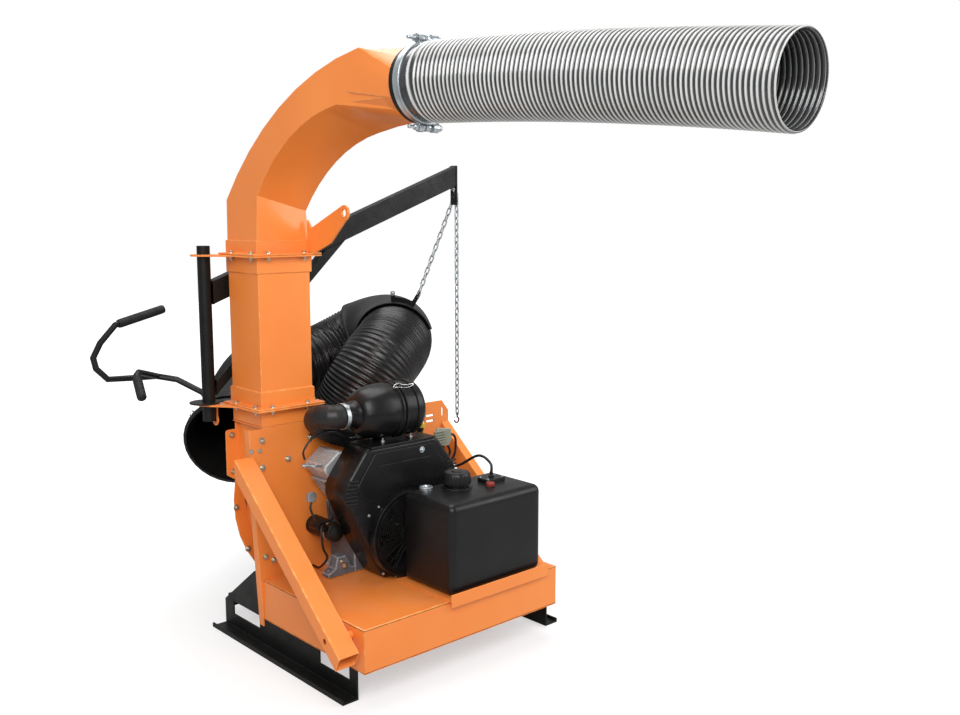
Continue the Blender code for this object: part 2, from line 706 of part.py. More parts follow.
def bend_corner(edge, share, shrink):
    (centre_y, centre_z), radius, first, last = edge
    angle = math.radians(first + (last - first) * share)
    return centre_y + (radius + shrink) * math.cos(angle), centre_z + (radius + shrink) * math.sin(angle)


def bend_ring(share, shrink):
    """A ring across the curved part; share 0 is at the duct's mouth and 1 is at its far end."""
    left, right = DUCT_LEFT + shrink, DUCT_RIGHT - shrink
    far = bend_corner(BEND_OUTER, share, -shrink)
    corners = [Vector((left, *bend_corner(BEND_LEFT, share, shrink))),
               Vector((right, *bend_corner(BEND_RIGHT, share, shrink))),
               Vector((right, *far)), Vector((left, *far))]
    return divided(corners, ELBOW_SIDE_POINTS)


def round_ring(y, radius):
    """A circle in the XZ plane whose points follow the same order as the rectangle's."""
    points = []
    for i in range(4 * ELBOW_SIDE_POINTS):
        angle = math.radians(225) + 2 * math.pi * i / (4 * ELBOW_SIDE_POINTS)
        points.append(Vector((SPIGOT_X + radius * math.cos(angle), y, SPIGOT_Z + radius * math.sin(angle))))
    return points


def discharge_elbow():
    foot = UPPER_FLANGE + GAP
    top = foot + FLANGE_PLATE
    collar = top + ELBOW_COLLAR
    sides = ELBOW_SIDE_POINTS
    outer = [duct_ring(foot, FLANGE_RIM, FLANGE_BACK_RIM, sides), duct_ring(top, FLANGE_RIM, FLANGE_BACK_RIM, sides),
             duct_ring(top, COLLAR_STEP, None, sides), duct_ring(collar, COLLAR_STEP, None, sides),
             duct_ring(collar, 0.0, None, sides)]
    inner = [duct_ring(foot + (collar - foot) * i / 4, -DUCT_SHEET, None, sides) for i in range(5)]
    for i in range(BEND_STEPS + 1):
        outer.append(bend_ring(i / BEND_STEPS, 0.0))
        inner.append(bend_ring(i / BEND_STEPS, DUCT_SHEET))
    for y in (SPIGOT_Y, SPIGOT_Y - SPIGOT_LENGTH):
        outer.append(round_ring(y, SPIGOT_RADIUS))
        inner.append(round_ring(y, SPIGOT_RADIUS - SPIGOT_WALL))
    return loft("discharge_elbow", outer, inner, ORANGE)


discharge_elbow()


def arc(centre, radius, first, last, steps):
    """Points on a circle, by angles in degrees."""
    points = []
    for i in range(steps + 1):
        angle = math.radians(first + (last - first) * i / steps)
        points.append((centre[0] + radius * math.cos(angle), centre[1] + radius * math.sin(angle)))
    return points


def elbow_lug():
    """A plate on from the elbow's right side, out ahead of its foot, with a shackle hole at its raised end."""
    low = UPPER_FLANGE + GAP + FLANGE_PLATE + GAP
    wall = DUCT_FRONT - COLLAR_STEP - GAP
    eye = (DUCT_FRONT - 0.220, UPPER_FLANGE + 0.139)
    shape = [(wall, low), (wall, low + 0.110), (wall - 0.022, low + 0.082)]
    shape += arc(eye, 0.0255, 75, 255, 12)
    shape += [(DUCT_FRONT - 0.142, UPPER_FLANGE + 0.041), (DUCT_FRONT - 0.050, low)]
    plate = prism("elbow_lug", shape, "YZ", DUCT_RIGHT - 0.010, DUCT_RIGHT - 0.002, ORANGE)
    hole = rod("eye", (DUCT_RIGHT - 0.03, *eye), (DUCT_RIGHT + 0.02, *eye), 0.0130, ORANGE)
    return combine(plate, [hole], "DIFFERENCE")


elbow_lug()


# Mast, boom and their brackets

def mast_bracket(duct, low, tip):
    """Joins a tongue for the mast to a flange's back left corner."""
    edge = DUCT_LEFT - FLANGE_RIM + 0.006
    shape = [(edge, DUCT_BACK - 0.090), (edge, DUCT_BACK + FLANGE_BACK_RIM - 0.001)]
    shape += arc((MAST_X, MAST_Y), tip, 40, 215, 12)
    plate = prism("tongue", shape, "XY", low, low + FLANGE_PLATE, ORANGE)
    hole = rod("hole", (MAST_X, MAST_Y, low - 0.01), (MAST_X, MAST_Y, low + 0.02), MAST_RADIUS + RUNNING, ORANGE, 32)
    return combine(duct, [combine(plate, [hole], "DIFFERENCE")], "UNION")


mast_bracket(NECK, LOWER_FLANGE - FLANGE_PLATE, 0.040)
mast_bracket(DUCT, duct_head - FLANGE_PLATE, 0.044)


def storage_hook():
    """A rod bent down from the lower bracket, ending in a J."""
    x, y = MAST_X + 0.0320, MAST_Y + 0.006
    top = LOWER_FLANGE - FLANGE_PLATE - GAP
    path = [(x, y, top), (x, y, top - 0.036)]
    for i in range(9):
        angle = math.radians(140 + 255 * i / 8)
        path.append((x, y + 0.011 + 0.016 * math.cos(angle), top - 0.058 + 0.018 * math.sin(angle)))
    return tube("storage_hook", path, 0.0045, ORANGE, 2)


storage_hook()

SWING = bpy.data.objects.new("boom_swing_axis", None)
PARTS.objects.link(SWING)
SWING.parent = ROOT
SWING.location = (MAST_X, MAST_Y, 0)


def on_mast(thing):
    """Hangs a boom piece on the swing axis without moving it."""
    bpy.context.view_layer.update()
    place = thing.matrix_world.copy()
    thing.parent = SWING
    thing.matrix_world = place
    return thing


def mast_pole():
    """The pipe that the boom turns with, and the round plate that it rests on the lower tongue by."""
    pole = rod("mast_pole", (MAST_X, MAST_Y, MAST_LOW), (MAST_X, MAST_Y, MAST_HIGH), MAST_RADIUS, BLACK, 32)
    rest = LOWER_FLANGE + GAP
    plate = rod("plate", (MAST_X - REST_OFFSET, MAST_Y + 0.006, rest),
                (MAST_X - REST_OFFSET, MAST_Y + 0.006, rest + REST_THICK), REST_RADIUS, BLACK, 40)
    pole = combine(pole, [plate], "UNION")
    bore = rod("bore", (MAST_X, MAST_Y, MAST_LOW - 0.01), (MAST_X, MAST_Y, MAST_HIGH + 0.01), MAST_RADIUS - 0.003,
               BLACK, 32)
    return combine(pole, [bore], "DIFFERENCE")


def slanted_tube(name, outline, hole, width):
    bar = prism(name, outline, "XZ", MAST_Y - width / 2, MAST_Y + width / 2, BLACK)
    core = prism("core", hole, "XZ", MAST_Y - width / 2 + BOOM_WALL, MAST_Y + width / 2 - BOOM_WALL, BLACK)
    return combine(bar, [core], "DIFFERENCE")


BOOM_SLOPE = BOOM_RISE / BOOM_REACH
BOOM_ANGLE = math.atan(BOOM_SLOPE)
MAST_FACE = MAST_X + MAST_RADIUS + GAP
BOOM_END = MAST_X + BOOM_REACH


def boom_line(x, offset):
    """The height of a line parallel to the boom, offset across it."""
    return BOOM_ROOT_Z + (x - MAST_X) * BOOM_SLOPE + offset / math.cos(BOOM_ANGLE)


def boom_arm():
    half = BOOM_DEPTH / 2

    def view(inset, start, end):
        return [(start, boom_line(start, inset - half)), (end, boom_line(end, inset - half)),
                (end, boom_line(end, half - inset)), (start, boom_line(start, half - inset))]

    return slanted_tube("boom_arm", view(0, MAST_FACE, BOOM_END), view(BOOM_WALL, MAST_FACE - 0.01, BOOM_END + 0.01),
                        BOOM_WIDTH)


def boom_strut():
    """A diagonal from the mast's foot to the boom's underside, cut to both."""
    far = MAST_X + STRUT_REACH
    under = boom_line(far, -BOOM_DEPTH / 2) - GAP
    slope = (under - STRUT_ROOT_Z) / (far - MAST_FACE)
    tall = STRUT_SIZE * math.sqrt(1 + slope * slope)

    def view(inset, extra):
        low = STRUT_ROOT_Z - tall / 2 + inset
        high = STRUT_ROOT_Z + tall / 2 - inset
        start = MAST_FACE - extra
        meets = []
        for height in (low, high):
            base = boom_line(MAST_FACE, -BOOM_DEPTH / 2) - GAP + extra
            meets.append(MAST_FACE + (base - height) / (slope - BOOM_SLOPE))
        points = [(start, low + (start - MAST_FACE) * slope)]
        points.append((meets[0], low + (meets[0] - MAST_FACE) * slope))
        points.append((meets[1], high + (meets[1] - MAST_FACE) * slope))
        points.append((start, high + (start - MAST_FACE) * slope))
        return points

    wall = BOOM_WALL * math.sqrt(1 + slope * slope)
    return slanted_tube("boom_strut", view(0, 0), view(wall, 0.01), STRUT_SIZE)


def boom_end_plate():
    start = BOOM_END + GAP
    plate = box("boom_end_plate", (start, MAST_Y - BOOM_WIDTH / 2, END_PLATE_LOW),
                (start + END_PLATE_THICK, MAST_Y + BOOM_WIDTH / 2, END_PLATE_HIGH), BLACK, 0.004)
    slot = box("slot", (start - 0.01, MAST_Y - 0.007, END_SLOT_Z - 0.018),
               (start + END_PLATE_THICK + 0.01, MAST_Y + 0.007, END_SLOT_Z + 0.018), BLACK)
    return combine(plate, [slot], "DIFFERENCE")


for piece in (mast_pole(), boom_arm(), boom_strut(), boom_end_plate()):
    on_mast(piece)


# Intake hose, sleeve and nozzle. The nozzle's axis points out of its mouth, ahead, left and down.

NOZZLE_MOUTH = Vector((0.083, DUCT_BACK + 0.147, 0.669))
NOZZLE_OUT = Vector((-0.642, -0.698, -0.317)).normalized()
NOZZLE_BACK = NOZZLE_MOUTH - NOZZLE_OUT * NOZZLE_LENGTH
INLET_FACE = Vector((AXIS_X, DUCT_BACK + INLET_LENGTH + 2 * GAP, AXIS_Z))


def under_boom(share, y, z):
    """A point of the hose's loop, by its share of the way from the collar out to the boom's end."""
    return Vector((AXIS_X + (BOOM_END - AXIS_X) * share, y, z))


def intake_route():
    """From the collar straight back, up to the boom's end, round the loop there and down to the nozzle."""
    first = INLET_FACE
    last = NOZZLE_BACK - NOZZLE_OUT * GAP
    return [first, first + Vector((0, 0.090, 0)), first + Vector((0.018, 0.185, 0.004)),
            first + Vector((0.080, 0.268, 0.022)), first + Vector((0.172, 0.292, 0.078)),
            first + Vector((0.248, 0.262, 0.165)), under_boom(0.42362, 1.020, 0.685),
            under_boom(0.46494, 0.972, 0.790), under_boom(0.55351, 0.950, 0.885),
            under_boom(0.70111, 0.978, 0.945), under_boom(0.84871, 1.080, 0.972),
            under_boom(0.93727, 1.215, 0.980), under_boom(0.90037, 1.345, 0.950),
            under_boom(0.75277, 1.415, 0.882), under_boom(0.56089, 1.430, 0.832),
            under_boom(0.33210, 1.400, 0.825), under_boom(0.12546, 1.325, 0.838),
            last - NOZZLE_OUT * 0.130, last]


ribbed_hose("intake_hose", intake_route(), INTAKE_RIBS, INTAKE_RADIUS, INTAKE_GROOVE, INTAKE_BORE, RUBBER)


def intake_nozzle():
    """A plain black pipe with a rolled lip at its mouth; the hose butts against its back end."""
    outer = NOZZLE_OUTER
    inner = outer - NOZZLE_WALL
    top = NOZZLE_LENGTH
    profile = [(inner + 0.014, top), (NOZZLE_LIP - 0.004, top), (NOZZLE_LIP, top - 0.005),
               (NOZZLE_LIP, top - 0.018), (outer + 0.015, top - 0.022), (outer, top - 0.052), (outer, 0.0),
               (inner, 0.0), (inner, top - 0.050), (inner + 0.014, top)]
    return turned("intake_nozzle", profile, tuple(NOZZLE_BACK), tuple(NOZZLE_OUT), PLASTIC, 32)


intake_nozzle()


def strap(name, centre, axis, inside, outside, width, finish, lugs, steps=24):
    """A clamp round a hose joint, with a bolt through a pair of lugs at each given direction."""
    axis = Vector(axis).normalized()
    inside, outside = (radius / math.cos(math.pi / steps) for radius in (inside, outside))
    band = ring(name, outside, inside, -width / 2, width / 2, tuple(centre), tuple(axis), finish, steps)
    for lug in lugs:
        lug = (Vector(lug) - axis * axis.dot(Vector(lug))).normalized()
        across = axis.cross(lug)
        seat = Vector(centre) + lug * (outside + 0.007)
        pieces = [rod("bolt", seat - across * 0.034, seat + across * 0.034, 0.005, finish, 8)]
        for side in (-1, 1):
            place = seat + across * side * 0.012
            pieces.append(rod("lug", place - across * 0.004, place + across * 0.004, 0.0125, finish, 8))
        band = combine(band, pieces, "UNION")
    return band


HOSE_JOINT = Vector((SPIGOT_X, SPIGOT_Y - SPIGOT_LENGTH - GAP / 2, SPIGOT_Z))
strap("discharge_clamp", HOSE_JOINT, (0, 1, 0), HOSE_GROOVE + 0.0004, HOSE_GROOVE + 0.0044, CLAMP_WIDTH, ZINC,
      [(0.05, 0, 1), (0.05, 0, -1)])
strap("inlet_clamp", INLET_FACE - Vector((0, GAP / 2, 0)), (0, 1, 0), INTAKE_GROOVE + 0.0004,
      INTAKE_GROOVE + 0.0034, 0.016, ZINC, [(0.6, 0, 0.8)])
strap("nozzle_clamp", NOZZLE_BACK, NOZZLE_OUT, INTAKE_GROOVE + 0.0004, INTAKE_GROOVE + 0.0034, 0.016, ZINC,
      [(0.3, 0.2, 0.9)])


def discharge_route():
    """Straight out of the spigot, then drifting right and drooping a little."""
    first = HOSE_JOINT - Vector((0, GAP / 2, 0))
    points = [first, first + Vector((0, -0.055, 0))]
    for share in (0.18, 0.32, 0.46, 0.60, 0.74, 0.87, 1.0):
        points.append(first + Vector((HOSE_DRIFT * math.sin(share * math.pi / 2) ** 1.2, -HOSE_REACH * share,
                                      -HOSE_DROP * share ** 1.7)))
    return points


ribbed_hose("discharge_hose", discharge_route(), HOSE_RIBS, HOSE_RADIUS, HOSE_GROOVE, HOSE_BORE, CLEAR_HOSE)


# Sleeve over the hose's loop, and the chains

ROUTE = smooth_path(intake_route(), 200)[0]
SLEEVE_FIRST = 92
SLEEVE_LAST = 124


def route_frame(i):
    """The hose's direction, upward side and sideways side at one point of its route."""
    ahead = (ROUTE[i + 1] - ROUTE[i - 1]).normalized()
    side = ahead.cross(Vector((0, 0, 1))).normalized()
    return ahead, side.cross(ahead), side


def hose_saddle():
    """A smooth half-shell over the loop, open below."""
    shape = bmesh.new()
    rows = []
    for i in range(SLEEVE_FIRST, SLEEVE_LAST + 1, 4):
        _, up, side = route_frame(i)
        row = []
        for radius, sign in ((SLEEVE_RADIUS + SLEEVE_THICK, 1), (SLEEVE_RADIUS, -1)):
            for k in range(11):
                angle = math.radians(sign * (-95 + 19 * k))
                row.append(shape.verts.new(ROUTE[i] + radius * (up * math.cos(angle) + side * math.sin(angle))))
        rows.append(row)
    for low, high in zip(rows, rows[1:]):
        for k in range(22):
            j = (k + 1) % 22
            shape.faces.new((low[k], low[j], high[j], high[k]))
    for row in (rows[0], rows[-1]):
        for k in range(10):
            shape.faces.new((row[k], row[k + 1], row[20 - k], row[21 - k]))
    bmesh.ops.recalc_face_normals(shape, faces=shape.faces)
    mesh = bpy.data.meshes.new("hose_saddle")
    shape.to_mesh(mesh)
    shape.free()
    return on_mast(new_object("hose_saddle", mesh, RUBBER, 40))


hose_saddle()
def slab(name, near, far, finish):
    """A plate between two equal flat outlines."""
    shape = bmesh.new()
    rows = [[shape.verts.new(p) for p in row] for row in (near, far)]
    shape.faces.new(rows[0])
    shape.faces.new(rows[1][::-1])
    for i in range(len(near)):
        j = (i + 1) % len(near)
        shape.faces.new((rows[0][i], rows[1][i], rows[1][j], rows[0][j]))
    bmesh.ops.recalc_face_normals(shape, faces=shape.faces)
    mesh = bpy.data.meshes.new(name)
    shape.to_mesh(mesh)
    shape.free()
    return new_object(name, mesh, finish)


BRACKET_AT = 94                 # the point of the route that the chain's bracket stands over
BRACKET_FROM, BRACKET_TO = -3, 30
TAB_WIDTH = 4.5                 # in degrees round the sleeve
WEB_HEIGHT = 0.020
SHORT_TAB = 0.044
TALL_TAB = 0.054


def over_sleeve(angle, height):
    """A point above the sleeve's outside, by its angle from the top."""
    _, up, side = route_frame(BRACKET_AT)
    turn = math.radians(angle)
    reach = SLEEVE_RADIUS + SLEEVE_THICK + GAP + height
    return ROUTE[BRACKET_AT] + reach * (up * math.cos(turn) + side * math.sin(turn))


def saddle_hook():
    """An upright plate across the sleeve's lip, with a short tab and a tall one that the chain hooks on to."""
    steps = 6
    spread = [BRACKET_FROM + (BRACKET_TO - BRACKET_FROM) * i / steps for i in range(steps + 1)]
    shape = [over_sleeve(angle, 0) for angle in spread]
    shape += [over_sleeve(BRACKET_TO, TALL_TAB), over_sleeve(BRACKET_TO - TAB_WIDTH, TALL_TAB)]
    shape += [over_sleeve(angle, WEB_HEIGHT) for angle in (BRACKET_TO - TAB_WIDTH - 1, 13, BRACKET_FROM + TAB_WIDTH + 1)]
    shape += [over_sleeve(BRACKET_FROM + TAB_WIDTH, SHORT_TAB), over_sleeve(BRACKET_FROM, SHORT_TAB)]
    half = route_frame(BRACKET_AT)[0] * 0.003
    return on_mast(slab("saddle_hook", [p - half for p in shape], [p + half for p in shape], ZINC))


saddle_hook()


def chain(name, path, pitch, finish):
    """A chain's envelope: a bar whose thickness swells at every link."""
    line, length = evenly([Vector(p) for p in path], 400)
    count = 2 * max(2, round(length / pitch)) + 1
    points = evenly(line, count)[0]
    radii = [CHAIN_RADIUS if i % 2 else CHAIN_RADIUS * 0.72 for i in range(count)]
    return tube(name, points, CHAIN_RADIUS, finish, 0, radii)


CHAIN_X = BOOM_END + GAP + END_PLATE_THICK + CHAIN_RADIUS + 0.0030
SLOT_X = BOOM_END + GAP + END_PLATE_THICK / 2
UPPER_LINK = END_SLOT_Z + 0.0105
LOWER_LINK = END_SLOT_Z - 0.0105
chain_foot = over_sleeve(BRACKET_TO - TAB_WIDTH / 2, TALL_TAB + 0.007)
on_mast(chain("support_chain", [(SLOT_X, MAST_Y, UPPER_LINK), (CHAIN_X, MAST_Y + 0.002, UPPER_LINK),
                                (CHAIN_X + 0.004, MAST_Y + 0.030, UPPER_LINK - 0.030), tuple(chain_foot)],
              0.028, ZINC))

PENDULUM = bpy.data.objects.new("chain_swing_axis", None)
PARTS.objects.link(PENDULUM)
PENDULUM.location = (CHAIN_X, MAST_Y, LOWER_LINK)
on_mast(PENDULUM)


def on_pendulum(thing):
    bpy.context.view_layer.update()
    place = thing.matrix_world.copy()
    thing.parent = PENDULUM
    thing.matrix_world = place


on_pendulum(chain("hanging_chain", [(CHAIN_X, MAST_Y, LOWER_LINK), (CHAIN_X, MAST_Y, HANGING_CHAIN_END)],
                  0.028, ZINC))


def chain_hook():
    """A shank with an open hook below it."""
    top = HANGING_CHAIN_END - GAP
    path = [(CHAIN_X, MAST_Y, top - 0.0002), (CHAIN_X, MAST_Y, top - 0.016)]
    for i in range(10):
        angle = math.radians(75 - 255 * i / 9)
        path.append((CHAIN_X + 0.012 * math.cos(angle) - 0.003, MAST_Y, top - 0.031 + 0.012 * math.sin(angle)))
    return tube("chain_hook", path, 0.0035, ZINC, 2)


on_pendulum(chain_hook())


# Nozzle handle: a strap round the nozzle, a stem to a long grip and a short horn

HANDLE_ALONG = 0.210
HANDLE_OUT = Vector((-0.563, 0.149, 0.813)).normalized()


def from_nozzle(x, y, z):
    """A point given from the nozzle's back end."""
    return NOZZLE_BACK + Vector((x, y, z))


LONG_GRIP = (from_nozzle(-0.500, 0.040, 0.343), from_nozzle(-0.297, 0.083, 0.385))
SHORT_GRIP = (from_nozzle(-0.500, -0.118, 0.178), from_nozzle(-0.525, -0.212, 0.1145))


def into_grip(grip, length):
    """A point on a grip's axis, past the bar's last bend."""
    return grip[0] + (grip[1] - grip[0]).normalized() * length


def handlebar():
    centre = NOZZLE_BACK + NOZZLE_OUT * HANDLE_ALONG
    band = ring("handlebar", NOZZLE_OUTER + 0.0065, NOZZLE_OUTER + 0.0005, -0.022, 0.022, tuple(centre),
                tuple(NOZZLE_OUT), BLACK, 32)
    out = (HANDLE_OUT - NOZZLE_OUT * HANDLE_OUT.dot(NOZZLE_OUT)).normalized()
    block = rod("block", centre + out * (NOZZLE_OUTER + 0.004), centre + out * (NOZZLE_OUTER + 0.034), 0.019, BLACK)
    foot = centre + out * (NOZZLE_OUTER + 0.022)
    stem = [foot, from_nozzle(-0.317, -0.050, 0.136), from_nozzle(-0.379, -0.018, 0.151),
            from_nozzle(-0.473, -0.006, 0.153), from_nozzle(-0.557, -0.010, 0.158),
            from_nozzle(-0.590, 0.008, 0.197), from_nozzle(-0.594, 0.019, 0.235),
            from_nozzle(-0.559, 0.037, 0.283), LONG_GRIP[0], into_grip(LONG_GRIP, 0.014)]
    horn = [stem[2], from_nozzle(-0.440, -0.075, 0.172), from_nozzle(-0.485, -0.106, 0.187),
            SHORT_GRIP[0], into_grip(SHORT_GRIP, 0.014)]
    pieces = [block, tube("stem", stem, HANDLE_TUBE, BLACK, 2), tube("horn", horn, HANDLE_TUBE, BLACK, 2)]
    bar = combine(band, pieces, "UNION")
    bar.data.shade_smooth()
    bar.data.set_sharp_from_angle(angle=math.radians(40))
    return bar


handlebar()
rod("grip_long", into_grip(LONG_GRIP, 0.014 + GAP), LONG_GRIP[1], GRIP_RADIUS, RUBBER, 20)
rod("grip_short", into_grip(SHORT_GRIP, 0.014 + GAP), SHORT_GRIP[1], GRIP_RADIUS, RUBBER, 20)


def wing_bolt(name, turn):
    """A bolt with two wings, screwed into the strap from outside."""
    centre = NOZZLE_BACK + NOZZLE_OUT * HANDLE_ALONG
    first = (HANDLE_OUT - NOZZLE_OUT * HANDLE_OUT.dot(NOZZLE_OUT)).normalized()
    out = Quaternion(NOZZLE_OUT, math.radians(turn)) @ first
    foot = centre + out * (NOZZLE_OUTER + 0.0065 + GAP)
    bolt = turned(name, [(0, 0.016), (0.005, 0.016), (0.008, 0.004), (0.008, 0.0), (0, 0)], tuple(foot),
                  tuple(out), ZINC, 16)
    wings = rod("wings", foot + out * 0.013 - NOZZLE_OUT * 0.017, foot + out * 0.013 + NOZZLE_OUT * 0.017,
                0.0045, ZINC, 10)
    return combine(bolt, [wings], "UNION")


wing_bolt("wing_bolt_upper", 34)
wing_bolt("wing_bolt_lower", 46)


# Engine: a V-twin whose crankshaft carries the blower's impeller

FLOOR = DECK_TOP + GAP
CASE_BACK = DECK_DEPTH - GAP


def bank_point(side, along, across):
    """A point in the XZ plane, measured along a cylinder bank and across it."""
    s, c = math.sin(BANK_TILT), math.cos(BANK_TILT)
    return AXIS_X + side * (along * s + across * c), AXIS_Z + along * c - across * s


def crankcase():
    foot = [(AXIS_X - 0.120, FLOOR), (AXIS_X + 0.120, FLOOR), (AXIS_X + 0.120, FLOOR + 0.065)]
    right = [bank_point(1, BANK_START - GAP, 0.060), bank_point(1, BANK_START - GAP, -0.058)]
    left = [bank_point(-1, BANK_START - GAP, -0.058), bank_point(-1, BANK_START - GAP, 0.060)]
    shape = foot + right + left + [(AXIS_X - 0.120, FLOOR + 0.065)]
    case = prism("crankcase", shape, "XZ", CRANKCASE_FRONT, CASE_BACK, CAST)
    bore = rod("bore", (AXIS_X, 0.40, AXIS_Z), (AXIS_X, 0.62, AXIS_Z), SHAFT_RADIUS + RUNNING, CAST, 32)
    return combine(case, [bore], "DIFFERENCE")


def cylinder(name, side):
    """A finned barrel on one bank."""
    fins, start, pitch = 6, BANK_START + 0.011, (BANK_LENGTH - 0.018) / 6
    right, left = [], []
    for i in range(fins):
        low = start + pitch * i
        for points, sign in ((right, 1), (left, -1)):
            for along, across in ((low, 0.038), (low, BANK_HALF), (low + pitch / 2, BANK_HALF),
                                  (low + pitch / 2, 0.038)):
                points.append(bank_point(side, along, sign * across))
    shape = [bank_point(side, BANK_START, -0.038), bank_point(side, BANK_START, 0.038)] + right
    shape += [bank_point(side, BANK_START + BANK_LENGTH, 0.038), bank_point(side, BANK_START + BANK_LENGTH, -0.038)]
    shape += left[::-1]
    return prism(name, shape, "XZ", 0.446, 0.556, CAST)


def rocker_cover(name, side):
    start = BANK_START + BANK_LENGTH + GAP
    end = start + COVER_LENGTH
    half = 0.048
    shape = [bank_point(side, a, b) for a, b in ((start, -half), (start, half), (end - 0.012, half),
                                                 (end, half - 0.014), (end, 0.014 - half), (end - 0.012, -half))]
    return prism(name, shape, "XZ", 0.438, 0.560, CAST)


def fan_shroud():
    """A pressed cover over the fan, open at the back, with a round opening for the air."""
    half = [(0.085, DECK_TOP + 0.004), (0.158, 0.385), (0.245, 0.575), (0.236, 0.618), (0.150, SHROUD_TOP)]
    shape = [(AXIS_X + x, z) for x, z in half] + [(AXIS_X - x, z) for x, z in half[::-1]]
    inner = []
    for x, z in shape:
        towards = Vector((AXIS_X - x, 0.49 - z)).normalized() * SHROUD_WALL * 1.25
        inner.append((x + towards.x, z + towards.y))
    cover = prism("fan_shroud", shape, "XZ", SHROUD_FRONT, SHROUD_BACK, PLASTIC)
    hollow = prism("hollow", inner, "XZ", SHROUD_FRONT + SHROUD_WALL, SHROUD_BACK + 0.01, PLASTIC)
    hole = rod("hole", (AXIS_X, SHROUD_FRONT - 0.01, AXIS_Z), (AXIS_X, SHROUD_FRONT + 0.02, AXIS_Z),
               FAN_RADIUS + 0.008, PLASTIC, 40)
    return combine(cover, [hollow, hole], "DIFFERENCE")


crankcase()
cylinder("cylinder_left", -1)
cylinder("cylinder_right", 1)
rocker_cover("rocker_cover_left", -1)
rocker_cover("rocker_cover_right", 1)
fan_shroud()
FAN_Y = SHROUD_FRONT - GAP
ring("fan_ring", FAN_RING_RADIUS, FAN_RING_RADIUS - 0.010, -0.028, 0.0, (AXIS_X, FAN_Y, AXIS_Z), (0, 1, 0), PLASTIC, 40)


def fan_screen():
    """A spoked guard that turns with the flywheel inside the ring."""
    rim = FAN_RING_RADIUS - 0.0125
    profile = [(0.0, 0.004), (0.036, 0.004), (rim, 0.012), (rim, 0.009), (0.036, 0.0), (0.030, -0.030), (0, -0.030)]
    screen = turned("fan_screen", profile, (AXIS_X, FAN_Y - 0.018, AXIS_Z), (0, -1, 0), PLASTIC, 32)
    cuts = []
    for i in range(8):
        angle = 2 * math.pi * i / 8
        ray = Vector((math.cos(angle), 0, math.sin(angle)))
        across = Vector((-math.sin(angle), 0, math.cos(angle)))
        near, far = (Vector((AXIS_X, 0, AXIS_Z)) + ray * r for r in (0.050, rim - 0.012))
        corners = [near - across * 0.006, far - across * 0.022, far + across * 0.022, near + across * 0.006]
        cuts.append(prism("window", [(p.x, p.z) for p in corners], "XZ", FAN_Y - 0.06, FAN_Y + 0.02, PLASTIC))
    return combine(screen, cuts, "DIFFERENCE")


fan_screen()
turned("crankshaft", [(0, 0.0), (0.026, 0.0), (0.026, 0.020), (0.060, 0.024), (FAN_RADIUS, 0.024),
                      (FAN_RADIUS, 0.050), (0.045, 0.050), (0.045, 0.075), (SHAFT_RADIUS, 0.075),
                      (SHAFT_RADIUS, 0.378), (0, 0.378)][::-1],
       (AXIS_X, FAN_Y + 0.0123, AXIS_Z), (0, 1, 0), STEEL, 28)


def impeller():
    """A disc on a hub, with six straight blades."""
    front = DECK_DEPTH + HOUSING_SHEET + 0.012
    hub = ring("impeller", 0.045, SHAFT_RADIUS + GAP, 0.0, 0.090, (AXIS_X, front, AXIS_Z), (0, 1, 0), STEEL, 20)
    pieces = [ring("disc", IMPELLER_RADIUS, SHAFT_RADIUS + GAP, 0.0, 0.006, (AXIS_X, front, AXIS_Z), (0, 1, 0),
                   STEEL, 32)]
    for i in range(6):
        angle = 2 * math.pi * i / 6
        ray = Vector((math.cos(angle), 0, math.sin(angle)))
        across = Vector((-math.sin(angle), 0, math.cos(angle)))
        near, far = (Vector((AXIS_X, 0, AXIS_Z)) + ray * r for r in (0.040, IMPELLER_RADIUS - 0.002))
        corners = [near - across * 0.003, far - across * 0.003, far + across * 0.003, near + across * 0.003]
        pieces.append(prism("blade", [(p.x, p.z) for p in corners], "XZ", front + 0.003, front + 0.130, STEEL))
    return combine(hub, pieces, "UNION")


impeller()
rod("starter_motor", (AXIS_X - 0.188, 0.440, AXIS_Z + 0.004), (AXIS_X - 0.188, CASE_BACK, AXIS_Z + 0.004),
    STARTER_RADIUS, BLACK, 32)
box("carburettor", (AXIS_X - 0.040, 0.455, AXIS_Z + 0.166), (AXIS_X + 0.040, 0.540, AXIS_Z + 0.2497), CAST, 0.004)
rod("muffler", (AXIS_X + 0.150, 0.505, FLOOR + 0.052), (AXIS_X + 0.370, 0.505, FLOOR + 0.052), 0.0515, BLACK, 32)


def air_cleaner_can():
    """A drum lying across the engine: a domed left end that narrows to the outlet."""
    profile = [(0, CLEANER_LENGTH), (ELBOW_TUBE_RADIUS, CLEANER_LENGTH), (ELBOW_TUBE_RADIUS, 0.172),
               (0.062, 0.164), (0.082, 0.146), (CLEANER_RADIUS, 0.116), (CLEANER_RADIUS, 0.0), (0, 0.0)]
    can = turned("air_cleaner_can", profile, (CLEANER_RIGHT, CLEANER_Y, CLEANER_Z), (-1, 0, 0), PLASTIC, 28)
    bracket = box("bracket", (AXIS_X - 0.040, CLEANER_Y - 0.030, SHROUD_TOP + GAP),
                  (AXIS_X + 0.050, CLEANER_Y + 0.030, CLEANER_Z - CLEANER_RADIUS * 0.8), PLASTIC)
    return combine(can, [bracket], "UNION")


air_cleaner_can()
turned("air_cleaner_cap", [(0, 0.042), (0.060, 0.042), (0.066, 0.036), (CLEANER_RADIUS - 0.004, 0.036),
                           (CLEANER_RADIUS + 0.004, 0.028), (CLEANER_RADIUS + 0.004, 0.0), (0, 0.0)],
       (CLEANER_RIGHT + GAP, CLEANER_Y, CLEANER_Z), (1, 0, 0), PLASTIC, 32)


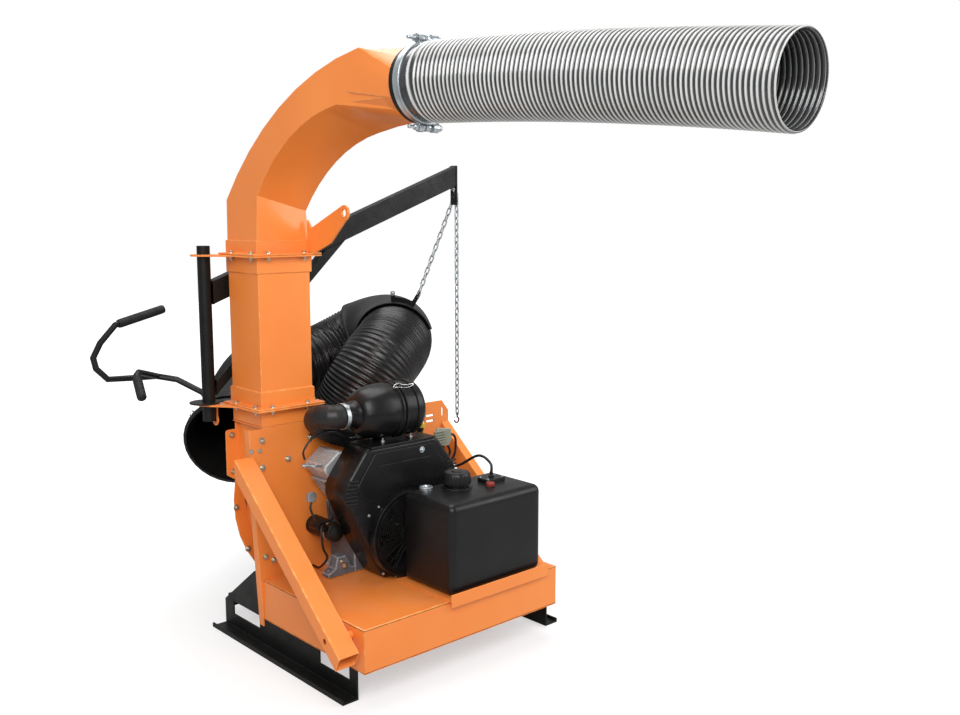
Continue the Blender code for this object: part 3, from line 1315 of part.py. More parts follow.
def intake_elbow():
    """A rubber bend from the air cleaner's outlet, back and down to the carburettor."""
    start = CLEANER_RIGHT - CLEANER_LENGTH - GAP
    route = [(start, CLEANER_Y, CLEANER_Z), (start - 0.022, CLEANER_Y + 0.002, CLEANER_Z),
             (start - 0.044, CLEANER_Y + 0.022, CLEANER_Z), (start - 0.052, CLEANER_Y + 0.062, CLEANER_Z - 0.005),
             (start - 0.030, 0.500, CLEANER_Z - 0.030), (0.230, 0.532, CLEANER_Z - 0.068),
             (0.300, 0.528, CLEANER_Z - 0.102), (0.368, 0.507, CLEANER_Z - 0.127),
             (AXIS_X, 0.498, AXIS_Z + 0.2497 + GAP)]
    line = smooth_path(route, 20, 0.02, 6)[0]
    line[1] = Vector((line[1].x, CLEANER_Y, CLEANER_Z))
    line[-2] = line[-1] + Vector((0, 0, 0.014))
    radii = [ELBOW_TUBE_RADIUS - (0.0030 if i in (7, 9, 11) else 0.0) for i in range(20)]
    return tube("intake_elbow", [tuple(p) for p in line], ELBOW_TUBE_RADIUS, RUBBER, 4, radii)


intake_elbow()
strap("elbow_clamp", (CLEANER_RIGHT - CLEANER_LENGTH - GAP / 2, CLEANER_Y, CLEANER_Z), (1, 0, 0),
      ELBOW_TUBE_RADIUS + 0.0004, ELBOW_TUBE_RADIUS + 0.0024, 0.014, ZINC, [], 32)


def cleaner_latch():
    """A wire clip over the joint between the drum and its cap."""
    out = CLEANER_RADIUS + 0.008
    y, z = CLEANER_Y - out * 0.5, CLEANER_Z + out * 0.866
    path = [(CLEANER_RIGHT - 0.008, y, z), (CLEANER_RIGHT + 0.020, y - 0.002, z + 0.003),
            (CLEANER_RIGHT + 0.048, y, z)]
    return tube("cleaner_latch", path, 0.0028, STEEL, 1)


cleaner_latch()


# Fuel tank

TANK_FLOOR = FLOOR + TRAY_SHEET + GAP
TANK_TOP = TANK_FLOOR + TANK_HEIGHT


def fuel_tank():
    tank = box("fuel_tank", (TANK_LEFT, 0.002, TANK_FLOOR), (TANK_LEFT + TANK_WIDTH, TANK_DEPTH, TANK_TOP), PLASTIC,
               0.026, 4)
    neck = rod("neck", (0.520, 0.168, TANK_TOP - 0.021), (0.520, 0.168, TANK_TOP + 0.012), 0.040, PLASTIC, 32)
    gauge = box("gauge", (0.622, 0.120, TANK_TOP - 0.012), (0.705, 0.175, TANK_TOP + 0.014), PLASTIC)
    return combine(baked(tank), [neck, gauge], "UNION")


fuel_tank()
turned("fuel_cap", [(0, 0.046), (0.034, 0.046), (0.044, 0.040), (0.047, 0.034), (0.047, 0.004), (0.049, 0.0),
                    (0, 0.0)], (0.520, 0.168, TANK_TOP + 0.012 + GAP), (0, 0, 1), PLASTIC, 32)
turned("vent_cap", [(0, 0.016), (0.012, 0.016), (0.015, 0.012), (0.015, 0.0), (0, 0.0)],
       (0.610, 0.096, TANK_TOP + GAP), (0, 0, 1), RED, 24)


# The origin goes to the centre of the bounding box's underside.

bpy.context.view_layer.update()
outer = [thing.matrix_world @ vertex.co for thing in PARTS.objects if thing.type == "MESH"
         for vertex in thing.data.vertices]
LOW = Vector([min(p[i] for p in outer) for i in range(3)])
HIGH = Vector([max(p[i] for p in outer) for i in range(3)])
ROOT.location = (-(LOW.x + HIGH.x) / 2, -(LOW.y + HIGH.y) / 2, -LOW.z)
bpy.context.view_layer.update()
print("size", [round(v, 4) for v in HIGH - LOW], "moved by", [round(v, 5) for v in ROOT.location])
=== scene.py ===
import json
import math
import bmesh
import bpy
from mathutils import Matrix, Vector

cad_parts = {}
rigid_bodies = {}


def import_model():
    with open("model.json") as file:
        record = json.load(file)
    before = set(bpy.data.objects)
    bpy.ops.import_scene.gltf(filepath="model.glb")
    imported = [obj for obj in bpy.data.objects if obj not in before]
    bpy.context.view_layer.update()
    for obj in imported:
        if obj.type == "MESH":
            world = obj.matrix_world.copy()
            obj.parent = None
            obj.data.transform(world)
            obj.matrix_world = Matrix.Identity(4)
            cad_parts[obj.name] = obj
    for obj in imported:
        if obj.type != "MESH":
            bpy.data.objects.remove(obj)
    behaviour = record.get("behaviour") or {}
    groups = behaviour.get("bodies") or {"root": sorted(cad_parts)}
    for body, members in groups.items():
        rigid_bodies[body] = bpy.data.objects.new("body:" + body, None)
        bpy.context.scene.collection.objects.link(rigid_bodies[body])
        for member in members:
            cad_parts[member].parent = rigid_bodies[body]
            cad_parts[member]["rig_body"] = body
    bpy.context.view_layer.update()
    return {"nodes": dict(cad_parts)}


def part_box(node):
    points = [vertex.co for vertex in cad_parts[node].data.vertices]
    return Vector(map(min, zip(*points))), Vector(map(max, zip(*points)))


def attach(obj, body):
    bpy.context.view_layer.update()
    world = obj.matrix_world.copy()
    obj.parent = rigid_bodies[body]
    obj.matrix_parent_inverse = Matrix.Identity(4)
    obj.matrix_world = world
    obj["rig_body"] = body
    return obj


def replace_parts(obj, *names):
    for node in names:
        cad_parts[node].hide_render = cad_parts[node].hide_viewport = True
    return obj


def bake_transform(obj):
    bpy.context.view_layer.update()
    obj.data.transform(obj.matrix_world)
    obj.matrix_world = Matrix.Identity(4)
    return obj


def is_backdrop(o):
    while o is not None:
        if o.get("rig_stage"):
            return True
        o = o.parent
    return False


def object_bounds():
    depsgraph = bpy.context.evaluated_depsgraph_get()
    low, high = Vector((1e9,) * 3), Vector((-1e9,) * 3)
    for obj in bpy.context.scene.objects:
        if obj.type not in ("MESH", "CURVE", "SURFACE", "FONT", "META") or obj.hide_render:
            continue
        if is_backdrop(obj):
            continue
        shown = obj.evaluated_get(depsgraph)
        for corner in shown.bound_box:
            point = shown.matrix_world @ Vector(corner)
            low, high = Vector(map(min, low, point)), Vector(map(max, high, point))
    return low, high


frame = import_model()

# Camera, floor and light
# The photograph was taken from 1.5 m up, 1.7 m left of the deck's front left corner and 2.4 m ahead of it.
# The floor is plain and white, and three soft lamps stand round the machine under an even white sky.

DECK_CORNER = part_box("engine_deck")[0]


def at(x, y, z):
    """A point given from the ground below the deck's front left corner: right, back and up."""
    return Vector((DECK_CORNER.x + x, DECK_CORNER.y + y, z))


def turned_towards(place, ahead, right):
    """A matrix that stands at a place and looks ahead, with its right side given."""
    ahead = ahead.normalized()
    right = (right - ahead * right.dot(ahead)).normalized()
    return Matrix.Translation(place) @ Matrix((right, right.cross(ahead), -ahead)).transposed().to_4x4()


def linked(name, data):
    """A new object that is linked to the scene."""
    made = bpy.data.objects.new(name, data)
    bpy.context.collection.objects.link(made)
    return made


NODE_GROUPS = ("ShaderNode", "GeometryNode", "FunctionNode")


def feed(node, inputs):
    """Sets a node's inputs, each to a value or to another node's output."""
    for label, value in inputs.items():
        if isinstance(value, bpy.types.NodeSocket):
            node.id_data.links.new(value, node.inputs[label])
        else:
            node.inputs[label].default_value = value


def put(tree, kind, inputs=None, output=0, **settings):
    """Adds a node of some kind, with its settings and inputs, to a tree and gives one of its outputs."""
    node = tree.nodes.new(next(group + kind for group in NODE_GROUPS if hasattr(bpy.types, group + kind)))
    for label, value in settings.items():
        setattr(node, label, value)
    feed(node, inputs or {})
    return node.outputs[output]


def maths(operation, *values):
    """A sum on numbers and nodes' outputs, at least one of them an output."""
    tree = next(value for value in values if isinstance(value, bpy.types.NodeSocket)).id_data
    return put(tree, "Math", dict(enumerate(values)), operation=operation)


def spread(value, low, high, new_low=0.0, new_high=1.0):
    """Moves an output from one range to another, and keeps it inside."""
    return put(value.id_data, "MapRange", {"Value": value, "From Min": low, "From Max": high,
                                           "To Min": new_low, "To Max": new_high})


lens = bpy.data.cameras.new("camera")
lens.sensor_width, lens.lens = 36.0, 37.87
camera = linked("camera", lens)
camera.matrix_world = turned_towards(at(-1.7004, -2.3618, 1.5), Vector((0.6706, 0.7284, -0.1404)),
                                     Vector((0.7357, -0.6773, 0.0)))
bpy.context.scene.camera = camera
bpy.context.scene.view_settings.view_transform = "Standard"

for label, place, size, power in (("key_lamp", (-2.6, -3.0, 3.6), 2.6, 190),
                                  ("fill_lamp", (3.4, -2.4, 2.4), 2.4, 60),
                                  ("top_lamp", (0.6, 1.2, 4.4), 3.0, 110)):
    lamp = bpy.data.lights.new(label, "AREA")
    lamp.size, lamp.energy = size, power
    here = at(*place)
    linked(label, lamp).matrix_world = turned_towards(here, at(0.3, 0.4, 0.9) - here,
                                                      Vector((0.7, -0.7, 0.0)))

WHITE = (1.0, 1.0, 1.0, 1.0)
sky = bpy.data.worlds.new("white_sky")
bpy.context.scene.world = sky
sky.use_nodes = True
seen = maths("MAXIMUM", put(sky.node_tree, "LightPath", output="Is Camera Ray"),
             put(sky.node_tree, "LightPath", output="Is Transmission Ray"))
SKY_LIGHT = 0.42
feed(sky.node_tree.nodes["Background"], {"Color": WHITE, "Strength": spread(seen, 0.0, 1.0, SKY_LIGHT, 1.0)})

REACH, BELOW = 14, -0.0005
floor_mesh = bpy.data.meshes.new("floor")
floor_mesh.from_pydata([(-REACH, -REACH, BELOW), (REACH, -REACH, BELOW), (REACH, REACH, BELOW),
                        (-REACH, REACH, BELOW)], [], [(0, 1, 2, 3)])
floor_paint = bpy.data.materials.new("white_floor")
floor_paint.use_nodes = True
floor_tree = floor_paint.node_tree
distance = put(floor_tree, "VectorMath", {0: put(floor_tree, "TexCoord", output="Object")}, "Value",
               operation="LENGTH")
glow = maths("MULTIPLY", spread(distance, 1.2, 3.6, 0.5, 1.0),
             put(floor_tree, "LightPath", output="Is Camera Ray"))
feed(floor_tree.nodes["Principled BSDF"], {"Base Color": (0.55, 0.55, 0.55, 1.0), "Roughness": 0.9,
                                           "Specular IOR Level": 0.0, "Emission Strength": glow,
                                           "Emission Color": WHITE})
floor_mesh.materials.append(floor_paint)
linked("floor", floor_mesh)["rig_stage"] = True

# Skid
# Two rails bent from plate, each with a flat foot turned out and a short lip turned in, joined by two square
# crossmembers that are welded between their webs. All of it is powder coated black.

DUST = (0.42, 0.37, 0.3)


def finish(name, dark, light, patch, gloss, grain, depth, metal=0.0, coat=0.0, shine=0.5, wear_and_highlight=None,
           dust=0.0, stretch=(1.0, 1.0, 1.0)):
    """A finish with patches of two shades, a range of gloss and a fine grain; a lighter colour may be given
    for rounded edges, where it shows in specks as wear and along the edge as a painted highlight.

    A colour is a grey or three numbers.
    """
    made = bpy.data.materials.new(name)
    made.use_nodes = True
    tree = made.node_tree
    place = put(tree, "TexCoord", output="Object")
    pull = put(tree, "Mapping", {"Vector": place, "Scale": stretch})

    def noise(scale, detail):
        return put(tree, "TexNoise", {"Vector": pull, "Scale": scale, "Detail": detail}, "Fac")

    def blended(share, *colours):
        """A mix of two colours, each a grey, three numbers or an output."""
        first, second = [(c, c, c, 1.0) if isinstance(c, float) else (*c, 1.0) if isinstance(c, tuple) else c
                         for c in colours]
        return put(tree, "Mix", {"Factor": share, 6: first, 7: second}, 2, data_type="RGBA")

    colour = blended(spread(noise(patch, 4.0), 0.32, 0.68), dark, light)
    # Rounded edges take the lighter edge colour in specks: partly wear, partly a painted highlight.
    if wear_and_highlight:
        edge = put(tree, "Attribute", output="Fac", attribute_name="wear_and_highlight")
        colour = blended(maths("MULTIPLY", edge, spread(noise(patch * 14, 3.0), 0.46, 0.66, 0.15, 0.9)),
                         colour, wear_and_highlight)
    if dust:
        normal = put(tree, "NewGeometry", output="Normal")
        upward = spread(put(tree, "SeparateXYZ", {0: normal}, "Z"), 0.55, 1.0)
        colour = blended(maths("MULTIPLY", upward, spread(noise(patch * 4, 6.0), 0.35, 0.75, 0.0, dust)),
                         colour, DUST)
    relief = put(tree, "Bump", {"Strength": 0.6, "Distance": depth, "Height": noise(grain, 3.0)})
    feed(tree.nodes["Principled BSDF"], {
        "Metallic": metal, "Coat Weight": coat, "Coat Roughness": 0.12, "Specular IOR Level": shine,
        "Base Color": colour, "Roughness": spread(noise(patch * 2.3, 5.0), 0.3, 0.7, *gloss),
        "Normal": relief})
    return made


BLACK_COAT = finish("black_powder_coat", (0.0045, 0.005, 0.0047), (0.008, 0.0085, 0.008), 7.0,
                    (0.34, 0.5), 420.0, 0.0004, shine=0.26, wear_and_highlight=0.03, dust=0.012)


def added(name, mesh, material, body="frame"):
    """A new piece of one material that rides on a body."""
    mesh.materials.clear()
    mesh.materials.append(material)
    piece = linked(name, mesh)
    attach(piece, body)
    return piece


def mesh_of(name, shape):
    """Turns a shape under construction into a mesh."""
    mesh = bpy.data.meshes.new(name)
    shape.to_mesh(mesh)
    shape.free()
    return mesh


def settled(holder):
    """The plain mesh that an object's modifiers make of it."""
    bpy.context.view_layer.update()
    return bpy.data.meshes.new_from_object(holder.evaluated_get(bpy.context.evaluated_depsgraph_get()))


def shaded(mesh, angle):
    """Smooth faces, with creases where they meet at more than an angle."""
    mesh.shade_smooth()
    mesh.set_sharp_from_angle(angle=math.radians(angle))
    return mesh


def evened(mesh):
    """Smooth faces whose normals are weighted by area, so that flat sheets stay flat beside rounded edges."""
    holder = linked("holder", shaded(mesh, 40))
    holder.modifiers.new("weight", "WEIGHTED_NORMAL").keep_sharp = True
    kept = settled(holder)
    bpy.data.objects.remove(holder)
    return kept


def rounded(shape, radius, least, segments=2):
    """Rounds the sharp edges that are longer than the least length, and marks them for the edge colour: wear
    in specks and a painted highlight.
    """
    wear_and_highlight = shape.faces.layers.float.get("wear_and_highlight") or shape.faces.layers.float.new("wear_and_highlight")
    sharp = math.radians(28)
    edges = [e for e in shape.edges if len(e.link_faces) == 2 and e.calc_length() > least
             and e.calc_face_angle(0.0) > sharp]
    made = bmesh.ops.bevel(shape, geom=edges, offset=radius, offset_type="OFFSET", segments=segments,
                           profile=0.5, affect="EDGES", clamp_overlap=False)
    for face in made["faces"]:
        face[wear_and_highlight] = 1.0


def node_shape(node):
    """A frame node's faces, with their shared points merged."""
    shape = bmesh.new()
    shape.from_mesh(frame["nodes"][node].data)
    bmesh.ops.remove_doubles(shape, verts=shape.verts, dist=0.00003)
    return shape


def softened(nodes, material, *rounds, segments=2, tidy=1.0, slot=None):
    """Copies of frame nodes with edges as round as the real metal's; each stands for its node.

    A round is a radius and the least length of the edges that take it, in millimetres. Faces within the tidy
    angle are joined first.
    """
    for node in nodes.split():
        shape = node_shape(node)
        bmesh.ops.dissolve_limit(shape, angle_limit=math.radians(tidy), use_dissolve_boundaries=False,
                                 verts=shape.verts, edges=shape.edges)
        for radius, least in rounds:
            rounded(shape, radius / 1000, least / 1000, segments)
        name = node + "_finished"
        body = frame["nodes"][node]["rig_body"]
        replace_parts(added(name, evened(mesh_of(name, shape)), material, body), node)


softened("skid_rail_left skid_rail_right", BLACK_COAT, (1.2, 20))
softened("skid_cross_front skid_cross_rear", BLACK_COAT, (4, 300), (0.7, 15))

# Deck, tank tray and braces
# The deck is a folded steel tray turned upside down, with a smaller tray on it for the tank. Two square-tube
# braces run back and up to the blower's front plate. Everything here is powder coated orange.

ORANGE_COAT = finish("orange_powder_coat", (0.86, 0.235, 0.04), (0.92, 0.275, 0.052), 2.6,
                     (0.3, 0.44), 330.0, 0.00035, coat=0.25, shine=0.4, wear_and_highlight=(0.96, 0.42, 0.13), dust=0.1)
softened("engine_deck", ORANGE_COAT, (4.5, 500), (3, 100), (0.9, 20), segments=3)
softened("tank_tray", ORANGE_COAT, (1.2, 20))
softened("brace_left brace_right", ORANGE_COAT, (5, 500), (0.8, 30), segments=3)
softened("brace_spacer_left", ORANGE_COAT, (1, 2))


def placed(points):
    """Points as vectors; a plain one is given from the deck's corner."""
    return [p if isinstance(p, Vector) else at(*p) for p in points]


def lines_of(*lines):
    """A mesh that is only lines through points; a line that ends where it starts is closed."""
    points, links = [], []
    for line in lines:
        first, closed = len(points), (line[0] - line[-1]).length < 1e-6
        points += line[:-1] if closed else line
        links += [(k, k + 1) for k in range(first, len(points) - 1)]
        links += [(len(points) - 1, first)] if closed else []
    mesh = bpy.data.meshes.new("lines")
    mesh.from_pydata([tuple(p) for p in points], links, [])
    return mesh


def tree_of(name, inputs, build):
    """A geometry tree with named inputs; what build makes of them becomes real and takes its material."""
    tree = bpy.data.node_groups.new(name, "GeometryNodeTree")
    tree.interface.new_socket("Geometry", in_out="INPUT", socket_type="NodeSocketGeometry")
    for label, value in inputs.items():
        kind = {float: "NodeSocketFloat", int: "NodeSocketInt", tuple: "NodeSocketVector"}[type(value)]
        tree.interface.new_socket(label, in_out="INPUT", socket_type=kind).default_value = value
    tree.interface.new_socket("Material", in_out="INPUT", socket_type="NodeSocketMaterial")
    tree.interface.new_socket("Geometry", in_out="OUTPUT", socket_type="NodeSocketGeometry")
    entry = tree.nodes.new("NodeGroupInput").outputs
    real = put(tree, "RealizeInstances", {0: build(tree, entry)})
    painted = put(tree, "SetMaterial", {"Geometry": real, "Material": entry["Material"]})
    feed(tree.nodes.new("NodeGroupOutput"), {"Geometry": painted})
    return tree


def grown(name, start, tree, sizes, material, body="frame", angle=60):
    """Runs a tree on a mesh of points or lines and keeps what it makes as one plain piece."""
    host = linked(name + "_host", start)
    grow = host.modifiers.new("grow", "NODES")
    grow.node_group = tree
    values = {**sizes, "Material": material}
    for socket in tree.interface.items_tree:
        if socket.in_out == "INPUT" and socket.name in values:
            grow[socket.identifier] = values[socket.name]
    mesh = settled(host)
    host.modifiers.clear()
    bpy.data.objects.remove(host)
    piece = added(name, shaded(mesh, angle), material, body)
    for face in mesh.polygons:
        face.material_index = 0
    return piece


def spaced_line(tree, entry):
    """The host's lines, with a point at every pitch."""
    line = put(tree, "MeshToCurve", {0: entry["Geometry"]})
    return put(tree, "ResampleCurve", {"Curve": line, "Length": entry["Pitch"]}, mode="LENGTH")


def weld_bead(tree, entry):
    """Lays small overlapping drops along a line, as a hand weld is made."""
    drop = put(tree, "MeshIcoSphere", {"Radius": entry["Width"], "Subdivisions": 2})
    uneven = put(tree, "RandomValue", {2: 0.82, 3: 1.12, "Seed": 4}, 1, data_type="FLOAT")
    return put(tree, "InstanceOnPoints", {"Points": spaced_line(tree, entry), "Instance": drop,
                                          "Scale": uneven})


WELD = tree_of("weld_bead", {"Pitch": 0.003, "Width": 0.0035}, weld_bead)


def weld(name, points, width, material=ORANGE_COAT, body="frame"):
    """A bead of weld along a line of points."""
    grown(name, lines_of(placed(points)), WELD, {"Pitch": width * 0.8, "Width": width}, material, body)


DECK_TOP = 0.26
weld("deck_seam_weld", [(0.03 + 0.027 * i, 0.576, DECK_TOP + 0.0005) for i in range(30)], 0.0028)
weld("tray_weld", [(0.352 + 0.03 * i, -0.0005, DECK_TOP - 0.0005) for i in range(15)], 0.0022)

# Blower housing
# A flat front plate, a back plate and a curled band of 5 mm steel make the scroll. The band is welded between
# the plates, and a ring welded to the back plate takes the intake hose. Zinc plated bolts hold the front.

softened("blower_front_plate blower_top_plate corner_bar_left", ORANGE_COAT, (0.9, 12))
softened("blower_back_plate blower_band", ORANGE_COAT, (0.9, 8))
ZINC = finish("yellowish_zinc", (0.5, 0.48, 0.38), (0.66, 0.64, 0.54), 60.0, (0.24, 0.42),
              900.0, 0.0001, metal=0.95)
PALE_ZINC = finish("white_zinc", (0.48, 0.53, 0.56), (0.62, 0.67, 0.7), 40.0, (0.26, 0.46),
                   700.0, 0.0001, metal=0.9)


def hexagon_bolt(tree, entry):
    """A hexagon head with a turned top on a washer, at every point, facing the way that the point says."""

    def disc(sides, width, taper, height, base):
        """A short cone that stands at a height; taper is the width of its top over that of its foot."""
        foot = maths("MULTIPLY", width, 0.5)
        cone = put(tree, "MeshCone", {"Vertices": sides, "Radius Bottom": foot,
                                      "Radius Top": maths("MULTIPLY", foot, taper), "Depth": height})
        lift = put(tree, "CombineXYZ", {"Z": base})
        return put(tree, "Transform", {"Geometry": cone, "Translation": lift})

    width, low = entry["Head Width"], maths("MULTIPLY", entry["Head Height"], 0.82)
    level = maths("ADD", entry["Washer Height"], low)
    together = tree.nodes.new("GeometryNodeJoinGeometry")
    for part in (disc(20, entry["Washer Width"], 0.97, entry["Washer Height"], 0.0),
                 disc(6, maths("MULTIPLY", width, 1.1547), 1.0, low, entry["Washer Height"]),
                 disc(20, width, 0.84, maths("MULTIPLY", entry["Head Height"], 0.18), level),
                 disc(12, entry["Stud Width"], 0.9, entry["Stud Height"], level)):
        tree.links.new(part, together.inputs[0])
    facing = put(tree, "InputNamedAttribute", {"Name": "facing"}, data_type="FLOAT_VECTOR")
    aim = put(tree, "AlignRotationToVector", {"Vector": facing}, axis="Z")
    spin = put(tree, "RandomValue", {0: (0.0, 0.0, 0.0), 1: (0.0, 0.0, 1.04), "Seed": 7},
               data_type="FLOAT_VECTOR")
    twist = put(tree, "RotateRotation", {"Rotation": aim, "Rotate By": spin}, rotation_space="LOCAL")
    points = put(tree, "MeshToPoints", {"Mesh": entry["Geometry"]})
    return put(tree, "InstanceOnPoints", {"Points": points, "Instance": together.outputs[0],
                                          "Rotation": twist})


BOLTS = tree_of("hexagon_bolts", {"Head Width": 0.013, "Head Height": 0.006, "Washer Width": 0.021,
                                  "Washer Height": 0.0018, "Stud Width": 0.008, "Stud Height": 0.0},
                hexagon_bolt)


def bolts(name, points, way, size, material=ZINC, body="frame", stud=0.0, washer=1.6):
    """Bolt heads that face one way, or each its own; size is across the flats."""
    mesh = bpy.data.meshes.new(name + "_places")
    mesh.from_pydata([tuple(p) for p in placed(points)], [], [])
    facing = mesh.attributes.new("facing", "FLOAT_VECTOR", "POINT")
    for i, facet in enumerate(way if isinstance(way, list) else [way] * len(points)):
        facing.data[i].vector = tuple(facet.normalized())
    sizes = {"Head Width": size, "Head Height": size * 0.52, "Washer Width": size * washer,
             "Washer Height": size * 0.13, "Stud Width": size * 0.58, "Stud Height": stud}
    grown(name, mesh, BOLTS, sizes, material, body, angle=28)


AHEAD, BACK, UP, DOWN = Vector((0, -1, 0)), Vector((0, 1, 0)), Vector((0, 0, 1)), Vector((0, 0, -1))
LEFT, RIGHT = Vector((-1, 0, 0)), Vector((1, 0, 0))
FRONT, REAR = 0.58, 0.77
bolts("front_plate_bolts", [(x, FRONT, z) for x, z in (
    (0.01, 0.746), (0.201, 0.731), (0.11, 0.668), (0.01, 0.653), (0.043, 0.321), (0.012, 0.34), (0.74, 0.42),
    (0.64, 0.72))], AHEAD, 0.014, stud=0.003)
bolts("back_plate_bolts", [(x, REAR, z) for x, z in (
    (0.004, 0.736), (0.005, 0.605), (0.011, 0.473), (0.052, 0.313), (0.135, 0.215))], AHEAD, 0.014,
      stud=0.003)
bolts("brace_bolts", [(-0.03, FRONT, 0.715), (0.002, FRONT, 0.712)], AHEAD, 0.01)

# Square duct and elbow
# The duct, its collars and its flanges are folded from 5 mm sheet and welded, and bolted together at two
# joints. The elbow turns it ahead and ends in a round spigot. A lug on its side takes a lifting shackle.

softened("outlet_neck discharge_duct", ORANGE_COAT, (2, 150), (0.8, 20))
softened("discharge_elbow", ORANGE_COAT, (1.2, 18), tidy=0.2)
softened("elbow_lug", ORANGE_COAT, (0.9, 4))
softened("storage_hook", ORANGE_COAT, (0.6, 30), tidy=0.2)
LEFT_SIDE, RIGHT_SIDE, RIM, WALL, SEAT, SEAM = 0.015, 0.216, 0.03, 0.005, 0.0062, 0.0065
for label, height in (("lower", 0.851), ("upper", 1.365)):
    holes = [(x, FRONT - RIM / 2) for x in (LEFT_SIDE + 0.032, RIGHT_SIDE - 0.03)]
    holes += [(x, y) for x in (LEFT_SIDE - RIM / 2, RIGHT_SIDE + RIM / 2) for y in (FRONT + 0.015, 0.725)]
    bolts(label + "_flange_bolts", [(x, y, height + SEAT) for x, y in holes], UP, 0.012)
    bolts(label + "_flange_nuts", [(x, y, height - SEAT) for x, y in holes], DOWN, 0.012, stud=0.007)
    for way, z in (("above", height + SEAM), ("below", height - SEAM)):
        weld(label + "_flange_weld_" + way, [
            (LEFT_SIDE - WALL, REAR, z), (LEFT_SIDE - WALL, FRONT - WALL, z),
            (RIGHT_SIDE + WALL, FRONT - WALL, z), (RIGHT_SIDE + WALL, REAR, z)], 0.0022)

# Discharge hose and its clamp
# A clear plastic hose with a dark wire wound into its wall, so that it looks striped. Its colour is pale on
# the ribs and dark in the grooves: the wire's stripe, with a painted highlight on each rib and painted shade
# in each groove. A zinc plated strap with two bolts pulls its end tight over the elbow's spigot.

JOINT = at(0.1025, -0.1903, 1.851)
FINE, PER_KNOT = 260, 24


def evenly(fine, count):
    """As many points as asked for, evenly spaced along a fine line of points, and its length."""
    runs = [0.0]
    for p, q in zip(fine, fine[1:]):
        runs.append(runs[-1] + (q - p).length)
    spaced, k = [], 0
    for i in range(count):
        along = runs[-1] * i / (count - 1)
        while k < len(runs) - 2 and runs[k + 1] < along:
            k += 1
        spaced.append(fine[k].lerp(fine[k + 1], (along - runs[k]) / (runs[k + 1] - runs[k])))
    return spaced, runs[-1]


def smooth_path(through, count, straight=0.05, passes=110):
    """A curve through the route's points, with its bends eased and its ends straight."""
    knots = [2 * through[0] - through[1]] + through + [2 * through[-1] - through[-2]]
    fine = []
    for a, b, c, d in zip(knots, knots[1:], knots[2:], knots[3:]):
        for t in (step / PER_KNOT for step in range(PER_KNOT)):
            fine.append(0.5 * ((2 * b) + (c - a) * t + (2 * a - 5 * b + 4 * c - d) * t * t
                               + (3 * b - a - 3 * c + d) * t ** 3))
    line, length = evenly(fine + [knots[-2]], FINE)
    hold = max(2, round(straight / length * (FINE - 1)))
    for _ in range(passes):
        line[hold:FINE - hold] = [(line[i - 1] + line[i] * 2 + line[i + 1]) / 4
                                  for i in range(hold, FINE - hold)]
    return evenly(line, count)[0]


def spiral_hose(tree, entry):
    """Sweeps a circle along a line and raises a spiral rib on it, like the wire in a hose's wall."""

    def stored(geometry, label, value):
        return put(tree, "StoreNamedAttribute", {0: geometry, "Name": label, "Value": value},
                   data_type="FLOAT")

    def named(label):
        return put(tree, "InputNamedAttribute", {"Name": label}, data_type="FLOAT")

    line = put(tree, "ResampleCurve", {
        "Curve": put(tree, "MeshToCurve", {0: entry["Geometry"]}),
        "Count": maths("ADD", maths("MULTIPLY", entry["Ribs"], entry["Steps"]), 1)})
    circle = put(tree, "CurvePrimitiveCircle", {"Resolution": entry["Sides"], "Radius": entry["Radius"]})
    share = maths("DIVIDE", put(tree, "InputIndex"), entry["Sides"])
    tube = put(tree, "CurveToMesh", {
        "Curve": stored(line, "along", put(tree, "SplineParameter", output="Factor")),
        "Profile Curve": stored(circle, "round", share)})
    turn = maths("SUBTRACT", maths("MULTIPLY", named("along"), entry["Ribs"]), named("round"))
    wave = maths("ADD", maths("MULTIPLY", maths("COSINE", maths("MULTIPLY", turn, 2 * math.pi)), 0.5), 0.5)
    past_start = maths("SUBTRACT", named("along"), entry["Plain Start"])
    before_end = maths("SUBTRACT", maths("SUBTRACT", 1.0, named("along")), entry["Plain End"])
    clear = maths("MAXIMUM", maths("MINIMUM", past_start, before_end), 0.0)
    height = maths("MULTIPLY", maths("POWER", wave, entry["Sharpness"]),
                   maths("MINIMUM", maths("MULTIPLY", clear, 90.0), 1.0))
    push = put(tree, "VectorMath", {0: put(tree, "InputNormal"),
                                    "Scale": maths("MULTIPLY", named("rib"), entry["Rib Height"])},
               operation="SCALE")
    return put(tree, "SetPosition", {"Geometry": stored(tube, "rib", height), "Offset": push})


HOSE = tree_of("spiral_hose", {"Radius": 0.1, "Rib Height": 0.003, "Ribs": 50, "Steps": 6, "Sides": 48,
                               "Sharpness": 2.0, "Plain Start": 0.02, "Plain End": 0.02}, spiral_hose)


def walled(piece, node, wall, offset=-1.0, rim=0.0):
    """Gives a sheet its thickness and, where asked, a rounded rim; it stands for a frame node."""
    skin = piece.modifiers.new("wall", "SOLIDIFY")
    skin.thickness, skin.offset = wall, offset
    if rim:
        edge = piece.modifiers.new("rim", "BEVEL")
        edge.width, edge.segments, edge.limit_method = rim, 2, "ANGLE"
    piece.data = settled(piece)
    piece.modifiers.clear()
    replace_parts(piece, node)
    return piece


def ribbed_tube(name, line, material, radius, rib, ribs, sides, sharpness, steps=6, plain=(0.02, 0.02)):
    """A tube along a line with a spiral rib; plain is the share of its length without one, at each end."""
    return grown(name, lines_of(line), HOSE, {
        "Radius": radius, "Rib Height": rib, "Ribs": ribs, "Steps": steps, "Sides": sides,
        "Sharpness": sharpness, "Plain Start": plain[0], "Plain End": plain[1]}, material, angle=70)


